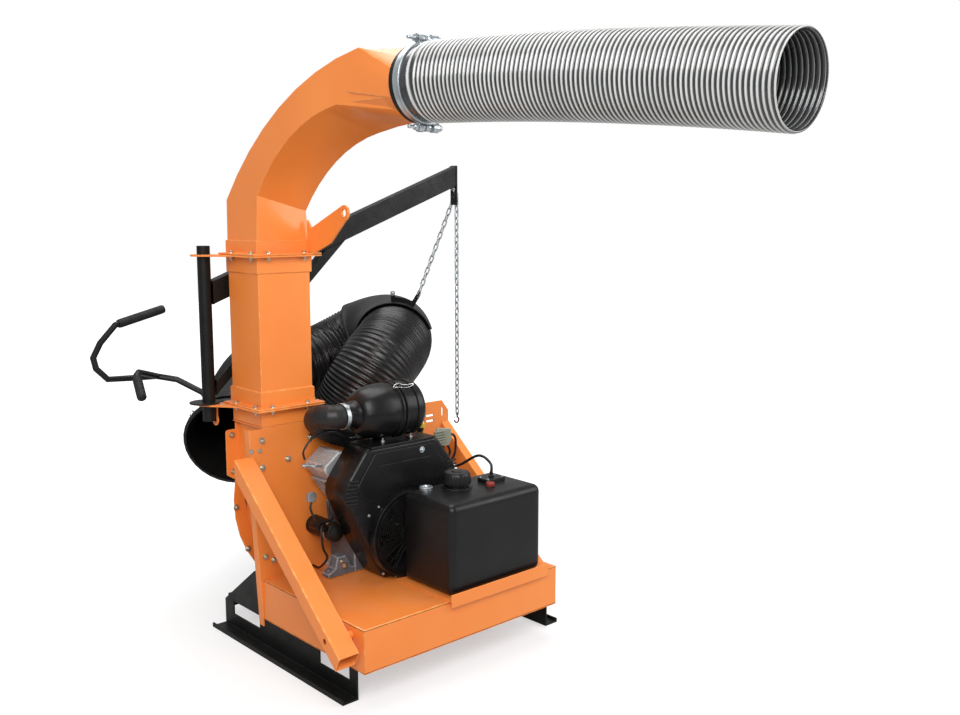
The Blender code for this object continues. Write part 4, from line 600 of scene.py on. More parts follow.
def striped_plastic_and_painted_light():
    """Clear plastic over a dark wire: pale on the ribs, dark in the grooves between them; the pale crests are
    a painted highlight, and the dark grooves are painted shade as well as the wire.
    """
    made = finish("clear_hose_wall", (0.5, 0.505, 0.49), (0.64, 0.645, 0.63), 9.0, (0.16, 0.3),
                  260.0, 0.0003, coat=0.5)
    shader = made.node_tree.nodes["Principled BSDF"]
    # Pale where the rib stands, dark in the groove: the wire's stripe with a painted highlight and painted
    # shade.
    rib = spread(put(made.node_tree, "Attribute", output="Fac", attribute_name="rib"), 0.3, 0.72)
    feed(shader, {"Base Color": put(made.node_tree, "Mix", {
        "Factor": rib, 6: (0.03, 0.031, 0.033, 1.0), 7: shader.inputs["Base Color"].links[0].from_socket}, 2,
        data_type="RGBA")})
    return made


def solid(name, shape, material, body="frame", angle=40):
    """Turns a shape under construction into a finished piece."""
    return added(name, shaded(mesh_of(name, shape), angle), material, body)


def banded(shape, rows, closed=True):
    """Joins each row of points to the next with faces; a row of one point is the tip of a cone."""
    for low, high in zip(rows, rows[1:]):
        count = max(len(low), len(high))
        for k in range(count if closed else count - 1):
            j = (k + 1) % count
            corners = [low[k % len(low)], low[j % len(low)], high[j % len(high)], high[k % len(high)]]
            shape.faces.new(tuple(dict.fromkeys(corners)))
    bmesh.ops.recalc_face_normals(shape, faces=shape.faces)


def spun(name, profile, centre, axis, material, body="frame", steps=56, ribs=0, depth=0.0,
         ribbed=(0, 0)):
    """A turned piece: a profile of radius and height round an axis, in millimetres.

    Ribs are raised by a depth where the height is in the ribbed range.
    """
    turn = Vector(axis).to_track_quat("Z", "Y").to_matrix()
    shape = bmesh.new()
    rows = []
    for radius, height in profile:
        raised = depth if ribbed[0] <= height <= ribbed[1] else 0.0
        row = []
        for k in range(steps if radius else 1):
            angle = 2 * math.pi * k / steps
            wide = (radius + raised * (0.5 + 0.5 * math.cos(angle * ribs)) ** 2) / 1000 if radius else 0.0
            row.append(shape.verts.new(centre + turn @ Vector((wide * math.cos(angle), wide * math.sin(angle),
                                                               height / 1000))))
        rows.append(row)
    banded(shape, rows)
    return solid(name, shape, material, body, 38)


discharge_through = [JOINT + AHEAD * 0.0002, JOINT + AHEAD * 0.055]
for share in (0.18, 0.32, 0.46, 0.6, 0.74, 0.87, 1.0):
    discharge_through.append(JOINT + Vector((0.121 * math.sin(share * math.pi / 2) ** 1.2, -1.0565 * share,
                                             -0.08 * share ** 1.7)))
walled(ribbed_tube("striped_discharge_hose", smooth_path(discharge_through, 240), striped_plastic_and_painted_light(),
                   radius=0.1043, rib=0.004, ribs=79, sides=48, sharpness=1.2, steps=9, plain=(0.026, -0.02)),
       "discharge_hose", 0.004)
softened("discharge_clamp", PALE_ZINC, (0.6, 6))
spun("clamp_beads", [(107.6, -12.5), (109.4, -11.5), (109.8, -9), (109, -7), (109, 7), (109.8, 9),
                     (109.4, 11.5), (107.6, 12.5)], JOINT, AHEAD, PALE_ZINC, steps=96)
spun("hose_cuff", [(102, -0.2), (105.6, 0.2), (106, 4), (106, 15), (104.8, 16.5), (102, 16.5)],
     JOINT + BACK * 0.033, AHEAD, BLACK_COAT, steps=96)
CLAMP_PARTS = (
    ("nut", [(0, 0), (9.5, 0), (9.5, 9), (0, 9)], -0.044),
    ("left_lug", [(0, 0), (12.5, 0), (13.5, 2), (13.5, 17), (0, 18)], -0.034),
    ("spring", [(0, 0), (9, 0), (11, 3), (11, 6), (8.5, 8.5), (11, 11), (11, 14), (9, 17), (0, 17)], -0.009),
    ("right_lug", [(0, 0), (13.5, 1), (13.5, 21), (11.5, 25), (0, 25)], 0.014),
    ("head", [(0, 0), (8.8, 0), (8.8, 6), (6, 10), (0, 11)], 0.041))
for label, way in (("top", UP), ("low", DOWN)):
    seat = JOINT + way * 0.1165
    spun(f"clamp_{label}_bolt", [(0, 0), (4.2, 0), (5, 1), (5, 118), (0, 118)], seat + LEFT * 0.066, RIGHT,
         PALE_ZINC, steps=20)
    for part, profile, offset in CLAMP_PARTS:
        spun(f"clamp_{label}_{part}", profile, seat + RIGHT * offset, RIGHT, PALE_ZINC,
             steps=6 if part == "nut" else 28)

# Mast and boom
# The mast is a pipe that turns in two tongues on the duct's flanges. The boom and its strut are square tubes
# welded to it, closed by a slotted plate, all powder coated black.

softened("boom_arm boom_strut", BLACK_COAT, (4, 350), (0.7, 30), segments=3)
softened("mast_pole", BLACK_COAT, (0.6, 2))
softened("boom_end_plate", BLACK_COAT, (0.6, 4))
MAST_X, MAST_Y, POLE, TUBE = -0.0555, 0.8145, 0.0222, 0.019
for label, z in (("top", 1.267), ("bottom", 1.197)):
    weld("boom_weld_" + label, [(MAST_X + POLE + 0.0015, MAST_Y - 0.017 + 0.0034 * i, z) for i in range(11)],
         0.003, BLACK_COAT, "boom")
for side, y in (("front", MAST_Y - TUBE), ("back", MAST_Y + TUBE)):
    weld("end_plate_weld_" + side, [(1.0722, y, 1.616 + 0.0078 * i) for i in range(11)], 0.0022, BLACK_COAT,
         "boom")

# Chains
# Two lengths of zinc plated chain hang from the boom's end plate. One holds the intake hose's sleeve, so the
# hose's route is laid out here. The other hangs free and has an open hook for the nozzle's handle.


def along_line(tree):
    """The rotation that lays an instance along its line."""
    return put(tree, "AlignRotationToVector", {"Vector": put(tree, "InputTangent")}, axis="X")


def chain_links(tree, entry):
    """Threads links along a line, each a quarter turn from the last."""
    inner = maths("SUBTRACT", entry["Width"], entry["Wire"])
    middle = put(tree, "CurvePrimitiveQuadrilateral", {"Width": maths("ADD", entry["Pitch"], entry["Wire"]),
                                                       "Height": inner})
    middle = put(tree, "FilletCurve", {"Curve": middle, "Count": 5, "Radius": maths("MULTIPLY", inner, 0.49)},
                 mode="POLY")
    wire = put(tree, "CurvePrimitiveCircle", {"Resolution": 8,
                                              "Radius": maths("MULTIPLY", entry["Wire"], 0.5)})
    link = put(tree, "CurveToMesh", {"Curve": middle, "Profile Curve": wire})
    quarter = maths("MULTIPLY", put(tree, "InputIndex"), math.pi / 2)
    turn = put(tree, "RotateRotation", {"Rotation": along_line(tree),
                                        "Rotate By": put(tree, "CombineXYZ", {"X": quarter})},
               rotation_space="LOCAL")
    return put(tree, "InstanceOnPoints", {"Points": spaced_line(tree, entry), "Instance": link,
                                          "Rotation": turn})


CHAIN = tree_of("chain_links", {"Pitch": 0.02, "Wire": 0.004, "Width": 0.014}, chain_links)
LINK = {"Pitch": 0.025, "Wire": 0.006, "Width": 0.0205}
CHAIN_X, SLOT_X, CHAIN_END = 1.0918, 1.0778, 0.664
HOSE_START, NOZZLE_END = Vector((0.395, 0.8206, 0.412)), Vector((0.083, 0.922, 0.669))
NOZZLE_OUT = Vector((-0.642, -0.698, -0.317)).normalized()
NOZZLE_BACK = NOZZLE_END - NOZZLE_OUT * 0.3
route_points = [HOSE_START + Vector(step) for step in (
    (0, 0, 0), (0, 0.09, 0), (0.018, 0.185, 0.004), (0.08, 0.268, 0.022), (0.172, 0.292, 0.078),
    (0.248, 0.262, 0.165))]
route_points += [Vector(p) for p in (
    (0.682, 1.02, 0.685), (0.71, 0.972, 0.79), (0.77, 0.95, 0.885), (0.87, 0.978, 0.945),
    (0.97, 1.08, 0.972), (1.03, 1.215, 0.98), (1.005, 1.345, 0.95), (0.905, 1.415, 0.882),
    (0.775, 1.43, 0.832), (0.62, 1.4, 0.825), (0.48, 1.325, 0.838))]
route_points += [NOZZLE_BACK - NOZZLE_OUT * 0.1303, NOZZLE_BACK - NOZZLE_OUT * 0.0003]
ROUTE = [at(*p) for p in smooth_path(route_points, 200)]


def hose_frame(i):
    """The intake hose's direction, upward side and sideways side at one point of its route."""
    ahead = (ROUTE[i + 1] - ROUTE[i - 1]).normalized()
    side = ahead.cross(UP).normalized()
    return ahead, side.cross(ahead), side


BRACKET_AT, SLEEVE_OUTSIDE = 94, 0.1728


def over_sleeve(angle, height):
    """A point above the sleeve's outside, by its angle from the top, over the chain's bracket."""
    _, up, side = hose_frame(BRACKET_AT)
    turn = math.radians(angle)
    return ROUTE[BRACKET_AT] + (SLEEVE_OUTSIDE + height) * (up * math.cos(turn) + side * math.sin(turn))


UPPER_LINK, LOWER_LINK = 1.5975, 1.5765
for name, node, line, body in (
        ("hanging_chain_links", "hanging_chain", [(CHAIN_X, MAST_Y, LOWER_LINK - 0.004),
                                                  (CHAIN_X, MAST_Y, CHAIN_END + 0.006)], "chain"),
        ("support_chain_links", "support_chain", [(SLOT_X - 0.001, MAST_Y, UPPER_LINK),
                                                  (CHAIN_X + 0.001, MAST_Y + 0.004, UPPER_LINK - 0.004),
                                                  over_sleeve(27.75, 0.06)], "boom")):
    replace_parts(grown(name, lines_of(placed(line)), CHAIN, LINK, PALE_ZINC, body), node)
RED_STEEL = finish("dark_red_hook", (0.075, 0.022, 0.016), (0.14, 0.04, 0.026), 30.0,
                   (0.38, 0.6), 500.0, 0.0002, metal=0.2, shine=0.4, wear_and_highlight=(0.3, 0.2, 0.17))
softened("chain_hook", RED_STEEL, (0.4, 20), tidy=0.2)

# Intake hose, its sleeve and clamps
# A 12 inch black rubber hose on a close wire spiral. It leaves the blower's inlet, loops through a smooth
# rubber sleeve that hangs from the boom, and comes back to the nozzle.

HOSE_RUBBER = finish("ribbed_hose_rubber", (0.0045, 0.0045, 0.005), (0.009, 0.009, 0.0095),
                     5.0, (0.25, 0.38), 300.0, 0.0003, shine=0.42, dust=0.015)
SLEEVE_RUBBER = finish("sleeve_rubber", 0.008, 0.015, 6.0, (0.38, 0.52), 500.0, 0.0005,
                       shine=0.4, wear_and_highlight=0.05, dust=0.015)
intake = walled(ribbed_tube("spiral_intake_hose", ROUTE, HOSE_RUBBER, radius=0.1576, rib=0.0042, ribs=166,
                            sides=42, sharpness=1.5, plain=(0.006, 0.006)), "intake_hose", 0.003)
intake.parent = None
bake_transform(intake)


def bent_wire(tree, entry):
    """Gives lines the thickness of a wire and closes its ends."""
    line = put(tree, "MeshToCurve", {0: entry["Geometry"]})
    circle = put(tree, "CurvePrimitiveCircle", {"Resolution": entry["Sides"], "Radius": entry["Radius"]})
    return put(tree, "CurveToMesh", {"Curve": line, "Profile Curve": circle, "Fill Caps": True})


WIRES = tree_of("bent_wire", {"Radius": 0.002, "Sides": 10}, bent_wire)


def wires(name, lines, radius, material, body="frame", sides=10, eased=True):
    """Bent wires or leads, each given as a list of points; the bends are eased unless told otherwise."""
    paths = [smooth_path(placed(line), 40, 0.004, 6) if eased else placed(line) for line in lines]
    return grown(name, lines_of(*paths), WIRES, {"Radius": radius, "Sides": sides}, material, body)


SLEEVE_FIRST, SLEEVE_LAST, SLEEVE_INSIDE, SLEEVE_STEPS = 92, 124, 0.1685, 48


def sleeve_shape():
    """A smooth half tube over the hose's loop, with a rolled edge at each end and its sides drawn in."""
    shape = bmesh.new()
    rows = []
    for i in range(SLEEVE_FIRST, SLEEVE_LAST + 1):
        _, up, side = hose_frame(i)
        end = min(i - SLEEVE_FIRST, SLEEVE_LAST - i)
        swell = (0.0028, 0.0022, 0.0008)[end] if end < 3 else 0.0
        reach = 190 - 26 * (1 - (i - SLEEVE_FIRST) / (SLEEVE_LAST - SLEEVE_FIRST)) ** 2
        row = []
        for k in range(SLEEVE_STEPS + 1):
            angle = math.radians(-95 + reach * k / SLEEVE_STEPS)
            radius = SLEEVE_INSIDE + swell - 0.0038 * max(0.0, min(1.0, (abs(angle) - 0.6) / 0.5))
            row.append(shape.verts.new(ROUTE[i] + radius * (up * math.cos(angle) + side * math.sin(angle))))
        rows.append(row)
    banded(shape, rows, closed=False)
    if rows[len(rows) // 2][SLEEVE_STEPS // 2].normal.dot(UP) < 0:
        bmesh.ops.reverse_faces(shape, faces=shape.faces)
    return shape


sleeve = added("smooth_sleeve", mesh_of("smooth_sleeve", sleeve_shape()), SLEEVE_RUBBER, "boom")
shaded(walled(sleeve, "hose_saddle", 0.004, 1.0, 0.0012).data, 50)
softened("saddle_hook", BLACK_COAT, (0.6, 10), tidy=0.2, slot="zinc_plate")
along = hose_frame(BRACKET_AT)[0]
pin = over_sleeve(-0.5, 0.036)
spun("bracket_pin", [(0, -12), (4.2, -12), (4.2, 12), (0, 12)], pin, along, PALE_ZINC, "boom", steps=20)
bolts("bracket_nuts", [pin - along * 0.0032, pin + along * 0.0032], [-along, along], 0.013, PALE_ZINC, "boom")
wires("bracket_hook", [[over_sleeve(26.5, 0.034) - along * 0.01, over_sleeve(27.5, 0.03) + along * 0.001,
                        over_sleeve(28.0, 0.036) + along * 0.01, over_sleeve(28.0, 0.052) + along * 0.009,
                        over_sleeve(27.8, 0.066) + along * 0.002]], 0.0036, BLACK_COAT, "boom",
      12)
softened("inlet_clamp nozzle_clamp", PALE_ZINC, (0.5, 6))

# Nozzle and its handle
# The nozzle is a plain moulded pipe with a rolled lip. A steel strap round it carries a bent pipe handle with
# two rubber grips, and is tightened by a pair of wing bolts.

NOZZLE_PLASTIC = finish("nozzle_plastic", 0.005, 0.009, 8.0, (0.3, 0.46), 380.0, 0.0004,
                        shine=0.3, wear_and_highlight=0.04, dust=0.015, stretch=(1.0, 1.0, 0.4))
softened("intake_nozzle", NOZZLE_PLASTIC, (1.2, 10), tidy=0.2)
softened("handlebar", BLACK_COAT, (0.8, 15), tidy=0.1)
GRIP_RUBBER = finish("grip_rubber", 0.01, 0.018, 30.0, (0.55, 0.75), 900.0, 0.0006, shine=0.3,
                     dust=0.02)
GRIP_RADIUS, GRIP_PITCH, GRIP_STEPS = 0.0152, 0.0032, 24
for node in ("grip_long", "grip_short"):
    shape = node_shape(node)
    points = [v.co.copy() for v in shape.verts]
    shape.free()
    centre = sum(points, Vector()) / len(points)
    reach = max(points, key=lambda p: (p - centre).length) - centre
    axis = Vector()
    for p in points:
        axis += (p - centre) * (1 if (p - centre).dot(reach) > 0 else -1)
    axis.normalize()
    half = max((p - centre).dot(axis) for p in points)
    line = [centre + axis * (half * (2 * i / GRIP_STEPS - 1)) for i in range(GRIP_STEPS + 1)]
    grip = ribbed_tube(node + "_ribbed", line, GRIP_RUBBER, GRIP_RADIUS, 0.0013, int(half / GRIP_PITCH),
                       sides=24, sharpness=0.7)
    caps = bmesh.new()
    caps.from_mesh(grip.data)
    bmesh.ops.holes_fill(caps, edges=caps.edges, sides=40)
    caps.to_mesh(grip.data)
    caps.free()
    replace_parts(grip, node)
softened("wing_bolt_upper wing_bolt_lower", PALE_ZINC, (0.6, 3), tidy=0.2)

# Fuel tank
# A rotationally moulded black tank that stands in its own tray: crowned sides, soft edges and, on top, a
# ribbed cap, a pad with the fuel pick-up and a small vent.

TANK_PLASTIC = finish("moulded_tank_plastic", (0.0045, 0.0045, 0.0048),
                      (0.008, 0.008, 0.0085), 6.0, (0.28, 0.4), 520.0, 0.0005, shine=0.3, wear_and_highlight=0.035,
                      dust=0.012)
CAP_PLASTIC = finish("cap_plastic", 0.006, 0.01, 20.0, (0.28, 0.42), 700.0, 0.0003,
                     shine=0.35, dust=0.01)
RED_PLASTIC = finish("red_cap_plastic", (0.2, 0.014, 0.01), (0.28, 0.022, 0.014), 30.0,
                     (0.3, 0.44), 700.0, 0.0002)


CORNER_STEPS, FACE_STEPS = 5, 7


def crowned_box(low, high, edge, crown):
    """A box whose edges are rounded and whose faces swell a little."""
    middle, half = (low + high) / 2, (high - low) / 2 - Vector((crown, crown, crown))
    inner = half - Vector((edge, edge, edge))
    shape = bmesh.new()

    def lines(axis):
        """Where the faces are divided along an axis: closely on the rounded edges, widely between them."""
        zone = [inner[axis] + edge * math.tan(math.radians(45) * i / CORNER_STEPS)
                for i in range(CORNER_STEPS + 1)]
        flat = [inner[axis] * i / FACE_STEPS for i in range(1 - FACE_STEPS, FACE_STEPS)]
        return sorted([-v for v in zone] + flat + zone)

    grids = [lines(axis) for axis in range(3)]
    for axis in range(3):
        first, second = [a for a in range(3) if a != axis]
        for sign in (-1, 1):
            rows = []
            for u in grids[first]:
                row = []
                for v in grids[second]:
                    p = Vector((0.0, 0.0, 0.0))
                    p[axis], p[first], p[second] = sign * half[axis], u, v
                    q = Vector([max(-inner[a], min(inner[a], p[a])) for a in range(3)])
                    swell = crown * (1 - (u / half[first]) ** 2) * (1 - (v / half[second]) ** 2)
                    row.append(shape.verts.new(middle + q + (p - q).normalized() * (edge + swell)))
                rows.append(row)
            banded(shape, rows, closed=False)
    bmesh.ops.remove_doubles(shape, verts=shape.verts, dist=0.00005)
    bmesh.ops.recalc_face_normals(shape, faces=shape.faces)
    return shape


PLANES = {"XZ": lambda u, v, w: at(u, w, v), "XY": lambda u, v, w: at(u, v, w)}


def prism(name, outline, way, start, end, edge, material):
    """A plate with rounded edges: an outline seen from one side, between two depths."""
    shape = bmesh.new()
    rows = [[shape.verts.new(PLANES[way](u, v, w)) for u, v in outline] for w in (start, end)]
    shape.faces.new(rows[0])
    shape.faces.new(rows[1][::-1])
    banded(shape, rows)
    rounded(shape, edge, edge * 0.5, 3)
    added(name, evened(mesh_of(name, shape)), material)


TANK_TOP = 0.5746
tank = crowned_box(at(0.351, 0.002, 0.2646), at(0.7725, 0.262, TANK_TOP), 0.026, 0.002)
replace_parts(solid("crowned_tank", tank, TANK_PLASTIC), "fuel_tank")
NECK, VENT = at(0.52, 0.168, TANK_TOP), at(0.61, 0.096, TANK_TOP)
spun("tank_neck", [(54, -4), (54, 1), (51, 4), (40, 5), (40, 11.5), (30, 11.5), (30, -4)], NECK, UP,
     TANK_PLASTIC)
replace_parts(spun("ribbed_fuel_cap", [
    (0, 12.5), (46.5, 12.5), (48, 14), (47.5, 18), (46.5, 44), (45, 50), (41, 54.5), (30, 56), (18, 55.5),
    (16, 58.5), (0, 59)], NECK, UP, CAP_PLASTIC, "fuel_cap", steps=144, ribs=24, depth=1.6,
    ribbed=(17.5, 44.5)), "fuel_cap")
prism("fuel_pick_up_pad", [(0.622, 0.12), (0.705, 0.12), (0.705, 0.175), (0.622, 0.175)], "XY",
      TANK_TOP - 0.002, TANK_TOP + 0.014, 0.0025, CAP_PLASTIC)
bolts("fuel_pick_up_screws", [(x, y, TANK_TOP + 0.0138) for x in (0.63, 0.697) for y in (0.128, 0.167)], UP,
      0.006, PALE_ZINC)
spun("fuel_pick_up_elbow", [(0, 0), (10, 0), (10, 6), (6.2, 8), (6.2, 20), (0, 20)],
     at(0.663, 0.147, TANK_TOP + 0.0138), UP, CAP_PLASTIC, steps=24)
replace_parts(spun("red_vent_cap", [(0, 0.5), (15, 0.5), (15.5, 2), (15.2, 11), (13.5, 14.5), (9, 16),
                                  (0, 16.2)], VENT, UP, RED_PLASTIC, "vent_cap", steps=80, ribs=16,
                 depth=0.8, ribbed=(1.5, 11.5)), "vent_cap")
spun("vent_collar", [(17.5, -2), (17.5, 1.5), (16, 2.5), (15.8, -2)], VENT, UP, CAP_PLASTIC, steps=32)
spun("bright_vent_rim", [(0, 5.5), (14, 5.5), (16, 9.5), (21, 10), (23.5, 7.5), (23.5, -2), (0, -2)],
     at(0.425, 0.218, TANK_TOP), UP, PALE_ZINC, steps=40)

# Engine
# An air-cooled V-twin whose crankshaft points ahead, under a moulded black blower housing. The crankcase,
# finned barrels and rocker covers are cast aluminium. It is bolted to the deck and the blower's front plate.

CAST = finish("sand_cast_aluminium", (0.34, 0.345, 0.35), (0.52, 0.525, 0.53), 14.0,
              (0.42, 0.62), 620.0, 0.0006, metal=0.35, shine=0.4, wear_and_highlight=0.7, dust=0.05)
# A darker, bluer copy of the sand cast aluminium: painted shade for the crankcase behind the fan cover and
# the foot under the left bank.
CAST_IN_PAINTED_SHADE = finish("casting_in_painted_shade", (0.11, 0.125, 0.15), (0.19, 0.205, 0.23), 14.0,
                   (0.45, 0.65), 620.0, 0.0006, metal=0.35, shine=0.4, wear_and_highlight=0.5, dust=0.05)
BRIGHT = finish("machined_steel", (0.5, 0.5, 0.49), (0.66, 0.66, 0.65), 30.0, (0.2, 0.36),
                500.0, 0.0001, metal=1.0, stretch=(1.0, 6.0, 1.0))
SHROUD_PLASTIC = finish("shroud_plastic", (0.0042, 0.0042, 0.0044), (0.0075, 0.0075, 0.008),
                        9.0, (0.26, 0.38), 640.0, 0.0004, shine=0.3, wear_and_highlight=0.035, dust=0.012)
WIRE_PLASTIC = finish("lead_sheath", 0.007, 0.014, 40.0, (0.35, 0.5), 900.0, 0.0002)
AXIS_X, AXIS_Z, TILT = 0.395, 0.412, math.radians(37)
SIDES = (("left", -1), ("right", 1))


def on_bank(side, along, across, y):
    """A point on a cylinder bank, by its distance along the bank and across it; side -1 is the left bank."""
    s, c = math.sin(TILT), math.cos(TILT)
    return at(AXIS_X + side * (along * s + across * c), y, AXIS_Z + along * c - across * s)


def row_of_bars(tree, entry):
    """Stands equal bars along a line, square to it."""
    bar = put(tree, "MeshCube", {"Size": entry["Bar"]})
    return put(tree, "InstanceOnPoints", {"Points": spaced_line(tree, entry), "Instance": bar,
                                          "Rotation": along_line(tree)})


ROW = tree_of("row_of_bars", {"Pitch": 0.01, "Bar": (0.002, 0.1, 0.1)}, row_of_bars)


def row(name, first, last, pitch, bar, edge, material):
    """A row of bars with softened edges, from one point to another."""
    piece = grown(name, lines_of(placed([first, last])), ROW, {"Pitch": pitch, "Bar": bar}, material,
                  angle=35)
    shape = bmesh.new()
    shape.from_mesh(piece.data)
    rounded(shape, edge, edge * 2.2)
    shape.to_mesh(piece.data)
    shape.free()
    piece.data = evened(piece.data)


# The crankcase takes the darker copy of the casting, whose darkness is painted shade.
softened("crankcase", CAST_IN_PAINTED_SHADE, (6, 50), (1, 10), segments=3)
for label, side in SIDES:
    softened("cylinder_" + label, CAST, (0.7, 4))
    softened("rocker_cover_" + label, CAST, (5, 12), segments=3)
    row("barrel_fins_" + label, on_bank(side, 0.158, 0, 0.501), on_bank(side, 0.264, 0, 0.501), 0.0076,
        (0.0022, 0.122, 0.114), 0.0006, CAST)
    row("cover_ribs_" + label, on_bank(side, 0.3309, -0.026, 0.499), on_bank(side, 0.3309, 0.026, 0.499),
        0.0104, (0.004, 0.104, 0.0045), 0.0012, CAST)
    bolts("cover_bolts_" + label, [on_bank(side, 0.3186, across, y) for across in (-0.041, 0.041)
                                   for y in (0.447, 0.551)], on_bank(side, 1, 0, 0) - on_bank(side, 0, 0, 0),
          0.009, PALE_ZINC)
    spark = on_bank(side, 0.262, 0.055, 0.47)
    tip = spark + Vector((side * 0.018, -0.045, -0.03))
    wires("plug_boot_" + label, [[spark, spark.lerp(tip, 0.5), tip]], 0.0085, WIRE_PLASTIC, sides=16)
    wires("plug_lead_" + label, [[tip, tip + Vector((side * 0.014, -0.012, -0.045)),
                                  (AXIS_X + side * 0.212, 0.41, 0.48), (AXIS_X + side * 0.178, 0.424, 0.44)]],
          0.0036, WIRE_PLASTIC)
FOOT_REACH, FOOT_TOP = 0.135, 0.2745
for label, side in SIDES:
    left, right = (AXIS_X + side * FOOT_REACH + x for x in (-0.022, 0.022))
    prism("engine_foot_" + label, [(left, 0.435), (right, 0.435), (right, 0.574), (left, 0.574)], "XY",
          0.2603, FOOT_TOP, 0.003, CAST)
bolts("foot_bolts", [(AXIS_X + x, y, FOOT_TOP + 0.0005) for x in (-FOOT_REACH, FOOT_REACH)
                     for y in (0.452, 0.556)],
      UP, 0.014, stud=0.004)

# Fan cover
# One glossy black moulding covers the fan and leads its air over both banks. A raised panel, louvres and
# bolts are on its face, and a wire screen turns with the flywheel inside the round opening.


def around_axis(radius, angle, y):
    """A point round the crankshaft's axis, by its angle in radians from the right."""
    return at(AXIS_X + radius * math.cos(angle), y, AXIS_Z + radius * math.sin(angle))


def moulded_shroud():
    """The cover's outline, carried back round a soft edge, with a round opening in its face."""
    half = [(0.0, 0.264), (0.085, 0.264), (0.158, 0.385), (0.245, 0.575), (0.236, 0.618), (0.15, 0.728),
            (0.0, 0.728)]
    corners = [Vector((x, 0, z - AXIS_Z)) for x, z in half + [(-x, z) for x, z in half[-2:0:-1]]]
    edge = []
    for a, b in zip(corners, corners[1:] + corners[:1]):
        steps = max(2, round((b - a).length / 0.011))
        edge += [a.lerp(b, k / steps) for k in range(steps)]
    for _ in range(2):
        edge = [(edge[k - 1] + edge[k] * 2 + edge[(k + 1) % len(edge)]) / 4 for k in range(len(edge))]
    centre = Vector((0, 0, 0.06))
    rows = [[at(AXIS_X, y, AXIS_Z) + centre + (p - centre) * (1 - inset / (p - centre).length) for p in edge]
            for inset, y in ((0, 0.42), (0, 0.35), (0, 0.315), (0.0012, 0.3095), (0.0045, 0.3045),
                             (0.0095, 0.3012), (0.015, 0.3002))]
    rows += [[at(AXIS_X, y, AXIS_Z) + p.normalized() * radius for p in edge]
             for radius, y in ((0.123, 0.3001), (0.115, 0.3003), (0.1135, 0.3015), (0.113, 0.308))]
    shape = bmesh.new()
    banded(shape, [[shape.verts.new(p) for p in points] for points in rows])
    shape.faces.ensure_lookup_table()
    if (shape.faces[0].calc_center_median() - at(AXIS_X, 0.36, 0.49)).dot(shape.faces[0].normal) < 0:
        bmesh.ops.reverse_faces(shape, faces=shape.faces)
    return solid("moulded_fan_shroud", shape, SHROUD_PLASTIC, angle=60)


walled(moulded_shroud(), "fan_shroud", 0.0035)
softened("fan_ring", SHROUD_PLASTIC, (1.2, 10))
softened("fan_screen", SHROUD_PLASTIC, (0.8, 8), tidy=0.2)
ring_edge = [(AXIS_X + 0.162 * math.cos(math.radians(a)), AXIS_Z + 0.162 * math.sin(math.radians(a)))
             for a in range(48, 133, 7)]
for name, outline, start, end, edge in (
        ("raised_panel", [(0.212, 0.566), (0.198, 0.606), (0.272, 0.708), (0.518, 0.708), (0.592, 0.606),
                          (0.578, 0.566)] + ring_edge, 0.2955, 0.302, 0.002),
        ("badge_field", [(0.278, 0.664), (0.512, 0.664), (0.452, 0.59), (0.338, 0.59)], 0.2935, 0.297,
         0.0012),
        ("top_lip", [(0.262, 0.722), (0.528, 0.722), (0.534, 0.731), (0.256, 0.731)], 0.2975, 0.424, 0.002)):
    prism("shroud_" + name, outline, "XZ", start, end, edge, SHROUD_PLASTIC)
for label, side in SIDES:
    for name, y, ends, pitch, bar, edge in (
            ("louvres", 0.2985, ((0.222, 0.552), (0.214, 0.628)), 0.0125, (0.0055, 0.007, 0.044), 0.0018),
            ("ribs", 0.299, ((0.118, 0.372), (0.196, 0.52)), 0.034, (0.006, 0.004, 0.04), 0.0012)):
        low, high = ((AXIS_X + side * x, y, z) for x, z in ends)
        row(f"shroud_{name}_{label}", low, high, pitch, bar, edge, SHROUD_PLASTIC)
bolts("shroud_bolts", [(x, 0.2993, z) for x, z in ((0.244, 0.5), (0.3, 0.284), (0.49, 0.284))], AHEAD, 0.007,
      PALE_ZINC, washer=1.5)
bolts("panel_bolt", [(0.472, 0.295, 0.692)], AHEAD, 0.012, PALE_ZINC, washer=1.9)
bolts("ring_bolts", [around_axis(0.156, math.radians(135 + 120 * k), 0.299) for k in range(3)], AHEAD, 0.006,
      PALE_ZINC)
RINGS, RING_STEPS, RING_PITCH, SPOKES = 13, 56, 0.0082, 24
SCREEN_INSIDE, SCREEN_OUTSIDE, SCREEN_FRONT, SCREEN_BACK = 0.034, 0.1324, 0.2675, 0.272
screen_lines = [[around_axis(SCREEN_INSIDE + RING_PITCH * k, 2 * math.pi * i / RING_STEPS,
                             SCREEN_FRONT + 0.0045 * (k / (RINGS - 1)) ** 2) for i in range(RING_STEPS + 1)]
                for k in range(RINGS)]
for angle in (2 * math.pi * k / SPOKES for k in range(SPOKES)):
    screen_lines.append([around_axis(SCREEN_INSIDE, angle, SCREEN_FRONT),
                         around_axis(SCREEN_OUTSIDE, angle, SCREEN_BACK)])
wires("fan_wire_screen", screen_lines, 0.00135, BLACK_COAT, "rotor", sides=6, eased=False)
spun("screen_hub", [(0, 16), (10, 16), (12, 13), (30, 10), (36, 6), (36, 0), (0, 0)],
     at(AXIS_X, 0.279, AXIS_Z), AHEAD, SHROUD_PLASTIC, "rotor", steps=48)
softened("crankshaft", BRIGHT, (0.8, 6), tidy=0.2)
softened("impeller", BRIGHT, (0.8, 20), tidy=0.2)

# Starter and oil fittings
# The starter lies under the left bank with its switch beside it, over a foot bolted to the deck. The oil
# filter and the drain are on the crankcase.

